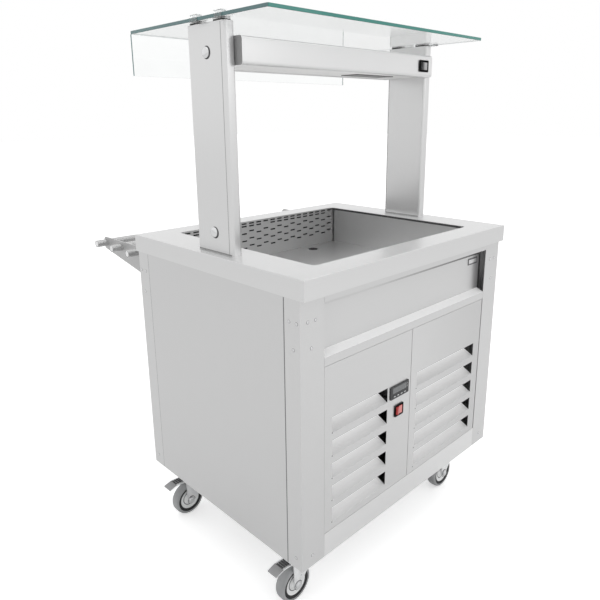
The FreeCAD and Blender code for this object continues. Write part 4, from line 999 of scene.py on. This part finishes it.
@dataclass
class Fasteners:
    """Rivet heads and the posts' domed bolts, each with a dark ring of painted shade round it."""

    rivet: Profile = (
        (0.0034, 0.0), (0.0034, 0.0004), (0.002788, 0.0010),
        (0.0017, 0.00138), (0.001224, 0.0013), (0.00102, 0.0008),
    )
    rivet_shade_ring: Profile = ((0.0043, 0.0), (0.0043, 0.0001), (0.0030, 0.0001))
    rivet_steps: int = 20
    rivet_reach: float = 0.011
    bolt_radius: float = 0.013
    bolt_height: float = 0.005
    bolt: Profile = (
        (0.013, 0.0), (0.013, 0.0012), (0.01261, 0.0018), (0.01144, 0.003),
        (0.0091, 0.0042), (0.00546, 0.0048), (0.00156, 0.005), (0.00026, 0.005),
    )
    bolt_shade_ring: Profile = ((0.0148, 0.0), (0.0148, 0.0003), (0.010, 0.0003))
    bolt_steps: int = 40

    def build(self) -> None:
        """Turn the heads and set them in place."""
        self.rivets()
        self.bolts()

    def rivets(self) -> None:
        """Dome every rivet where the CAD node has one, over a dark ring of painted shade."""
        spots = self.spots(FRAME["nodes"]["rivets"])
        laid(repeated("rivet_shadow_rings", self.rivet_shade_ring, spots, self.rivet_steps), Finish.GAP_AND_SHADE)
        laid(repeated("rivet_heads", self.rivet, spots, self.rivet_steps), Finish.BOLT, "cabinet", "rivets")

    def spots(self, node: bpy.types.Object) -> list[Spot]:
        """Find the seats of the rivets in their CAD node.

        Args:
            node: The CAD node with all the heads.

        Returns:
            Each head's seat, its axis and the way it points along it.
        """
        heads: list[list[Vector]] = []
        for vertex in node.data.vertices:
            for points in heads:
                if (points[0] - vertex.co).length < self.rivet_reach:
                    points.append(vertex.co.copy())
                    break
            else:
                heads.append([vertex.co.copy()])
        low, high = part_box("rivets")
        found = []
        for points in heads:
            small = Vector([min(point[i] for point in points) for i in range(3)])
            large = Vector([max(point[i] for point in points) for i in range(3)])
            seat = (small + large) / 2
            if abs(seat.x - low.x) < 0.002:
                seat.x, axis, sign = large.x, Axis.X, -1
            elif abs(seat.x - high.x) < 0.002:
                seat.x, axis, sign = small.x, Axis.X, 1
            elif seat.y < (low.y + high.y) / 2:
                seat.y, axis, sign = large.y, Axis.Y, -1
            else:
                seat.y, axis, sign = small.y, Axis.Y, 1
            found.append((seat, axis, sign))
        return found

    def bolts(self) -> None:
        """Turn the domed bolts on the posts' outer faces, each over a dark ring of painted shadow."""
        low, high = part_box("post_bolts")
        y = (low.y + high.y) / 2
        heads, shade_rings = [], []
        for face, sign in ((low.x + self.bolt_height, -1), (high.x - self.bolt_height, 1)):
            for level in (low.z + self.bolt_radius, high.z - self.bolt_radius):
                heads.append(((face, y, level), Axis.X, sign))
                # Each ring sits a little off its head, towards -Y and down: painted shadow.
                shade_rings.append(((face, y - 0.0030, level - 0.0005), Axis.X, sign))
        laid(repeated("bolt_heads", self.bolt, heads, self.bolt_steps), Finish.BOLT, "cabinet", "post_bolts")
        laid(repeated("bolt_shadow_rings", self.bolt_shade_ring, shade_rings, self.bolt_steps), Finish.SEAL_AND_SHADE)


@dataclass
class Controls:
    """Controller, its keys, and the two rocker switches."""

    keys: Sequence[int] = (1, 2, 3, 4)
    corner: float = 0.0028
    front_depth: float = 0.003
    body_inset: float = 0.0046
    display_half: tuple[float, float] = (0.030, 0.0085)
    display_rise: float = 0.005
    key_depth: float = 0.0016
    pocket_play: float = 0.0003
    pocket_depth: float = 0.0029
    mark: Profile = ((0.0009, 0.0), (0.0009, -0.0002))
    marks: int = 3
    mark_corner: tuple[float, float] = (0.0065, 0.0105)
    mark_pitch: float = 0.0052
    frame_depth: float = 0.0028
    frame_corner: float = 0.006
    window_depth: float = 0.0027

    def build(self) -> None:
        """Build the controller and the switches."""
        self.controller()
        for index in self.keys:
            self.key(index)
        # The right half of each rocker gets a paler finish, a painted highlight.
        self.switch("main_switch", "main_rocker", (Finish.RED, Finish.RED_HIGHLIGHT), (0.0275, 0.0240))
        self.switch("light_switch", "light_rocker", (Finish.BLACK, Finish.BLACK_HIGHLIGHT), (0.0355, 0.0230))

    def controller(self) -> None:
        """Build the bezel with its sunk display, key pockets and marks."""
        low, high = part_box("controller")
        front, centre = low.y, (low + high) / 2
        piece = block("controller_bezel", low, (high.x, front + self.front_depth, high.z))
        round_corners(piece, 1, self.corner, 4)
        (across, along), z = self.display_half, centre.z + self.display_rise
        window = (centre.x - across, z - along), (centre.x + across, z + along)
        recess(piece, *window, 0.0006)
        play = self.pocket_play
        for index in self.keys:
            a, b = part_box(f"key_{index}")
            recess(piece, (a.x - play, a.z - play), (b.x + play, b.z + play), self.pocket_depth)
        bevelled(piece, 0.0003, 2, 50)
        inset = self.body_inset
        rear = block(
            "controller_body",
            (low.x + inset, front + self.front_depth + THIN, low.z + inset),
            (high.x - inset, high.y, high.z - inset),
        )
        bevelled(rear, 0.001, 2)
        laid(joined("controller_case", [piece, rear]), Finish.BLACK, "cabinet", "controller")
        start = (window[0][0] + 0.0002, front + 0.0002, window[0][1] + 0.0002)
        stop = (window[1][0] - 0.0002, front + 0.0008, window[1][1] - 0.0002)
        laid(slip("controller_display", start, stop), Finish.DISPLAY)
        inset, rise = self.mark_corner
        spots = []
        for row in range(self.marks):
            spots.append(((high.x - inset, front, centre.z + rise - row * self.mark_pitch), Axis.Y, 1))
        laid(repeated("controller_marks", self.mark, spots, 16), Finish.MARK)

    def key(self, index: int) -> None:
        """Build one key as a rounded cap with a pale mark."""
        low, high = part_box(f"key_{index}")
        body = f"key_body_{index}"
        cap = block(f"key_cap_{index}", low, (high.x, min(high.y, low.y + self.key_depth), high.z))
        round_corners(cap, 1, 0.0008, 3)
        laid(bevelled(cap, 0.00025, 2, 50), Finish.DISPLAY, body, f"key_{index}")
        x, _, z = (low + high) / 2
        start, stop = (x - 0.0026, low.y - 0.0001, z - 0.0008), (x + 0.0026, low.y + 0.0002, z + 0.0012)
        laid(round_corners(block(f"key_mark_{index}", start, stop), 1, 0.0004, 2), Finish.KEY, body)

    def switch(
        self, stem: str, body: str, halves: tuple[Finish, Finish], window: tuple[float, float]
    ) -> None:
        """Build a switch's bezel round its rocker.

        Args:
            stem: The nodes' common name.
            body: The rocker's body.
            halves: The finishes of the rocker's left half and of its right half, which carries a painted
                highlight.
            window: The window's width and height, in metres.
        """
        low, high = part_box(f"{stem}_bezel")
        centre = (low + high) / 2
        frame = block(f"{stem}_frame", low, (high.x, low.y + self.frame_depth, high.z))
        round_corners(frame, 1, self.frame_corner, 6)
        across, along = window[0] / 2, window[1] / 2
        start, stop = (centre.x - across, centre.z - along), (centre.x + across, centre.z + along)
        recess(frame, start, stop, self.window_depth)
        laid(bevelled(frame, 0.0004, 2, 50), Finish.BLACK)
        refined(f"{stem}_bezel", "cabinet", Finish.BLACK)
        rocker = refined(f"{stem}_rocker", body, halves[0], 0.0004, 2)
        # The right half's front faces get the painted highlight.
        touch_up(rocker, halves[1], lambda face: face.center.x > centre.x + 0.0005 and face.normal.y < -0.5)


@dataclass
class Gantry:
    """Posts, light housing and glass."""

    slot_low: tuple[float, float] = (0.105, -0.172)
    slot_high: tuple[float, float] = (0.275, -0.108)
    line_width: float = 0.0016
    foot_rise: float = 0.0036

    def build(self) -> None:
        """Build the gantry and its glass."""
        for side, _ in SIDES:
            refined(f"gantry_post_{side}", "cabinet", Finish.POST)
        self.seams()
        self.housing()
        keep("light_diffuser", Finish.OPAL)
        self.pane("glass_shelf", 2, Finish.GLASS_EDGE)
        self.pane("glass_screen", 1, Finish.PALE_EDGE)
        refined("glass_clips", "cabinet", Finish.CLIP, 0.0004, 2)
        refined("glass_pads", "cabinet", Finish.PAD_AND_SHADE, 0.0006, 2)

    def housing(self) -> None:
        """Build the light housing, with painted shade on its left end face beside the post, and the slot
        below it.
        """
        piece = refined("light_housing", "cabinet", Finish.BEAM)
        low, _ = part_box("light_housing")
        # The left end face gets painted shade.
        touch_up(piece, Finish.SHADE, lambda face: face.center.x < low.x + 0.01 and face.normal.x < -0.6)
        start, stop = (*self.slot_low, low.z + 0.0004), (*self.slot_high, low.z + 0.0022)
        laid(round_corners(block("diffuser_slot", start, stop), 2, 0.004, 4), Finish.BLACK)

    def seams(self) -> None:
        """Lay the fine joint lines on the posts' side faces, and a dark line of painted shade at their feet.
        """
        lines = []
        for side, sign in SIDES:
            low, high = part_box(f"gantry_post_{side}")
            outer, inner = (low.x, high.x) if sign < 0 else (high.x, low.x)
            for face, out, place in ((outer, sign, low.y + 0.0125), (inner, -sign, high.y - 0.006)):
                near, far = sorted((face - out * 0.0003, face + out * 0.0002))
                stop = (far, place + self.line_width, high.z - 0.002)
                lines.append(slip("line", (near, place, low.z + 0.002), stop))
                # The line at the foot is painted shade where the post meets the worktop.
                stop = (far, high.y - 0.005, low.z + self.foot_rise)
                lines.append(slip("foot", (near, low.y + 0.005, low.z + 0.0003), stop))
        laid(joined("post_lines", lines), Finish.SHADE)

    def pane(self, node: str, thin: int, edge: Finish) -> None:
        """Build one pane with ground edges and its own edge colour.

        Args:
            node: The CAD node.
            thin: The axis across the pane.
            edge: The finish of its long edges.
        """
        piece = block(node + "_pane", *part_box(node))
        if node == "glass_shelf":
            round_corners(piece, 2, 0.004, 5)
        # The side edges get a darker blue-grey than the front edges: painted shade.
        dress(bevelled(piece, 0.0008, 2, 40), Finish.GLASS, edge, Finish.SIDE_EDGE_SHADE)
        for face in piece.data.polygons:
            sideways = 2 if abs(face.normal.x) > 0.7 else 1
            face.material_index = 0 if abs(face.normal[thin]) > 0.9 else sideways
        ride(piece, "cabinet", node)


@dataclass
class TraySlide:
    """Tubes with their end plugs, and brackets."""

    plug: Profile = ((0.0094, -0.012), (0.0094, -0.0012), (0.0088, -0.0003), (0.0002, 0.0))

    def build(self) -> None:
        """Build the slide."""
        spots = []
        for name in ("inner", "middle", "outer"):
            node = f"slide_tube_{name}"
            refined(node, "cabinet", Finish.TUBE)
            (start, stop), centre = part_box(node), middle(node)
            for end, sign in ((start.x, -1), (stop.x, 1)):
                spots.append(((end, centre.y, centre.z), Axis.X, sign))
        laid(repeated("tube_plugs", self.plug, spots, 32), Finish.ZINC)
        for side, _ in SIDES:
            refined(f"slide_bracket_{side}", "cabinet", Finish.BRACKET)


@dataclass
class Castors:
    """Four braked castors, modelled once and copied."""

    radius: float = 0.04999
    half_width: float = 0.015
    groove: Profile = (
        (0.019996, 0.0090), (0.019996, 0.0094), (0.0224955, 0.0094), (0.0224955, 0.0090), (0.019996, 0.0090),
    )
    axle_half: float = 0.021
    washer: Profile = ((0.0134, 0.021), (0.0134, 0.0213), (0.0100, 0.0213))
    ribs: int = 5
    rib_size: tuple[float, float] = (0.0058, 0.024)
    rib_start: float = 0.024
    rib_pitch: float = 0.0072
    lip: float = 0.017

    def build(self) -> None:
        """Build the wheels' zones, the forks, the axles and the pedals."""
        self.wheels()
        for corner in CORNERS:
            refined(f"castor_fork_{corner}", f"swivel_{corner}", Finish.ZINC, 0.0006, 2)
        self.axles()
        self.pedals()

    def spread(self, model: bpy.types.Object, node: str, finish: Finish, body: str, replaced: bool) -> None:
        """Copy a model of the first castor to the others and finish all four.

        Args:
            model: What stands on the first castor, and names its copies.
            node: The nodes whose places the copies follow, without their corners.
            finish: The pieces' finish.
            body: The bodies that carry them, without their corners.
            replaced: The pieces stand for those nodes.
        """
        stem = model.name
        start = middle(f"{node}_{CORNERS[0]}")
        pieces = [model]
        for corner in CORNERS[1:]:
            pieces.append(copied(model, stem, middle(f"{node}_{corner}") - start))
        for corner, piece in zip(CORNERS, pieces):
            piece.name = f"{stem}_{corner}"
            laid(piece, finish, f"{body}_{corner}", *([f"{node}_{corner}"] if replaced else []))

    def zone(self, name: str, half: Profile, finish: Finish, steps: int, replaced: bool = False) -> None:
        """Turn one zone of a wheel for all four.

        Args:
            name: The zone's name.
            half: The radii and heights of its outline's near half, in metres; the far half mirrors it.
            finish: The zone's finish.
            steps: Points round it.
            replaced: The zone stands for the CAD wheel.
        """
        mirrored = tuple((radius, -height) for radius, height in reversed(half))
        model = turned(name, (*half, *mirrored, half[0]), self.centre(), Axis.Y, steps, True)
        self.spread(model, "castor_wheel", finish, "wheel", replaced)

    def centre(self) -> Vector:
        """Return the middle of the first castor's wheel."""
        return middle(f"castor_wheel_{CORNERS[0]}")

    def sides(self) -> list[Spot]:
        """Return the first wheel's near and far side."""
        return [(self.centre(), Axis.Y, sign) for sign in (-1, 1)]

    def wheels(self) -> None:
        """Turn the tyre, the dark ring, the hub and the hub's grooves."""
        r, w = self.radius, self.half_width
        tyre = (
            (r * 0.79, -w + 0.0023), (r * 0.815, -w + 0.0023), (r * 0.83, -w), (r - 0.005, -w),
            (r - 0.0022, -w + 0.0016), (r - 0.0006, -w + 0.0045), (r, -w + 0.009),
        )
        self.zone("tyre", tyre, Finish.TYRE, 72, True)
        ring = (
            (r * 0.645, -w + 0.004), (r * 0.66, -w + 0.0024), (r * 0.80, -w + 0.0008),
            (r * 0.825, -w + 0.0012), (r * 0.80, -w + 0.004),
        )
        self.zone("ring", ring, Finish.RING, 64)
        hub = (
            (r * 0.125, -0.017), (r * 0.27, -0.017), (r * 0.30, -0.0155),
            (r * 0.33, -0.0105), (r * 0.36, -0.0092), (r * 0.56, -0.0092),
            (r * 0.61, -0.0105), (r * 0.635, -w + 0.0035), (r * 0.65, -w + 0.0030),
        )
        self.zone("hub", hub, Finish.HUB, 56)
        grooves = repeated("hub_grooves", self.groove, self.sides(), 48, True)
        self.spread(grooves, "castor_wheel", Finish.JOINT, "wheel", False)

    def axles(self) -> None:
        """Turn the axle with its washers, domed head and nut."""
        half = self.axle_half
        head = (
            (0.0040, -half - 0.0052), (0.0075, -half - 0.0050), (0.0092, -half - 0.0040),
            (0.0092, -half - 0.0012), (0.0120, -half - 0.0012), (0.0120, -half), (0.0059, -half),
        )
        nut = tuple((radius, -height) for radius, height in reversed(head))
        profile = (*head, *nut, (0.0002, half + 0.0053))
        axle = turned("axle", profile, self.centre(), Axis.Y, 32)
        self.spread(axle, "castor_axle", Finish.BOLT, "swivel", True)
        washers = repeated("axle_washers", self.washer, self.sides(), 32)
        self.spread(washers, "castor_axle", Finish.JOINT, "swivel", False)

    def pedals(self) -> None:
        """Refine the pedals' plates, with painted shade on their lips, and lay a ribbed tread on each."""
        for corner in CORNERS:
            node = f"castor_pedal_{corner}"
            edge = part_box(node)[0].x + self.lip
            plate = refined(node, f"pedal_{corner}", Finish.ZINC, 0.0005, 2)
            # The lip's outward faces get a dull grey: painted shade.
            touch_up(plate, Finish.LIP_SHADE, lambda face: face.center.x < edge and face.normal.x < -0.2)
        low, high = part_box(f"castor_pedal_{CORNERS[0]}")
        x, y, top = low.x + self.rib_start, (low.y + high.y) / 2, high.z
        length, width = self.rib_size
        rib = block("tread", (x, y - width / 2, top - 0.0004), (x + length, y + width / 2, top + 0.0010))
        bevelled(rib, 0.0005, 2)
        copies = [copied(rib, "rib", (step * self.rib_pitch, 0, 0)) for step in range(1, self.ribs)]
        self.spread(joined("tread", [rib, *copies]), "castor_pedal", Finish.TREAD, "pedal", False)


@dataclass
class CoolingUnit:
    """Compressor, condenser and fan, seen through the louvres."""

    def build(self) -> None:
        """Dress the cooling unit."""
        refined("compressor", "cabinet", Finish.ENAMEL_AND_SHADE)
        keep("condenser", Finish.FINS)
        refined("fan_rotor", "fan", Finish.BLACK, 0.0004, 1)
        keep("castor_plates", Finish.ZINC)


@dataclass
class Studio:
    """Floor, lamps, world and camera."""

    camera_place: Triple = (-1.220739, -1.309092, 1.230977)
    yaw: float = 45.4512
    pitch: float = 14.9833
    roll: float = 0.3967
    focal: float = 578.915
    principal: tuple[float, float] = (307.167, 269.715)
    picture: float = 600.0
    sensor: float = 36.0
    ambient: float = 0.86
    aim: Triple = (0.0, 0.0, 0.8)

    def build(self) -> None:
        """Build the studio."""
        self.floor()
        self.world()
        self.lamps()
        self.camera()

    def floor(self) -> None:
        """Lay a plain pale floor."""
        deselect()
        bpy.ops.mesh.primitive_plane_add(size=60, location=(0, 0, 0))
        plane = bpy.context.object
        plane.name = "studio_floor"
        dress(plane, Finish.FLOOR)

    def world(self) -> None:
        """Light the scene evenly and show white behind it, in mirrors and through glass."""
        world = bpy.data.worlds.new("studio_world")
        bpy.context.scene.world = world
        world.use_nodes = True
        tree = world.node_tree
        ambient = tree.nodes["Background"]
        fill(tree, ambient, {"Color": WHITE, "Strength": self.ambient})
        white = added(tree, "Background", {"Color": WHITE, "Strength": 1.0})
        path = added(tree, "LightPath", {}).outputs
        seen = added(
            tree, "Math", {0: path["Is Camera Ray"], 1: path["Is Glossy Ray"]}, operation="MAXIMUM"
        )
        share = added(
            tree, "Math", {0: seen.outputs[0], 1: path["Is Transmission Ray"]}, operation="MAXIMUM"
        )
        mix = added(tree, "MixShader", {"Fac": share.outputs[0], 1: ambient.outputs[0], 2: white.outputs[0]})
        fill(tree, tree.nodes["World Output"], {"Surface": mix.outputs[0]})

    def lamps(self) -> None:
        """Hang two large soft lamps."""
        for name, place, size, power in (
            ("top_lamp", (0.3, -0.6, 4.2), 5.0, 26.0),
            ("front_lamp", (1.2, -3.6, 2.4), 2.2, 9.0),
        ):
            data = bpy.data.lights.new(name, "AREA")
            data.size = size
            data.energy = power
            lamp = bpy.data.objects.new(name, data)
            bpy.context.scene.collection.objects.link(lamp)
            lamp.location = place
            ahead = Vector(self.aim) - Vector(place)
            lamp.rotation_euler = ahead.to_track_quat("-Z", "Y").to_euler()

    def camera(self) -> None:
        """Set the camera as the photograph's."""
        yaw, pitch, roll = (math.radians(a) for a in (self.yaw, self.pitch, self.roll))
        ahead = Vector((math.cos(pitch) * math.cos(yaw), math.cos(pitch) * math.sin(yaw), -math.sin(pitch)))
        level = Vector((math.sin(yaw), -math.cos(yaw), 0))
        down = ahead.cross(level)
        right = math.cos(roll) * level + math.sin(roll) * down
        below = -math.sin(roll) * level + math.cos(roll) * down
        data = bpy.data.cameras.new("camera")
        data.sensor_width = self.sensor
        data.lens = self.focal / self.picture * self.sensor
        data.shift_x = 0.5 - self.principal[0] / self.picture
        data.shift_y = self.principal[1] / self.picture - 0.5
        data.clip_end = 100
        camera = bpy.data.objects.new("camera", data)
        bpy.context.scene.collection.objects.link(camera)
        turn = Matrix((right, -below, -ahead)).transposed().to_4x4()
        camera.matrix_world = Matrix.Translation(Vector(self.camera_place)) @ turn
        bpy.context.scene.camera = camera
        bpy.context.scene.view_settings.view_transform = "Standard"


def main() -> None:
    """Build the salad bar's look, piece by piece."""
    logging.basicConfig(level=logging.INFO, format="%(message)s")
    for part in (Cabinet(), Fasteners(), Controls(), Gantry(), TraySlide(), Castors(), CoolingUnit()):
        LOG.info("building %s", type(part).__name__)
        part.build()
    Studio().build()


if __name__ == "__main__":
    main()
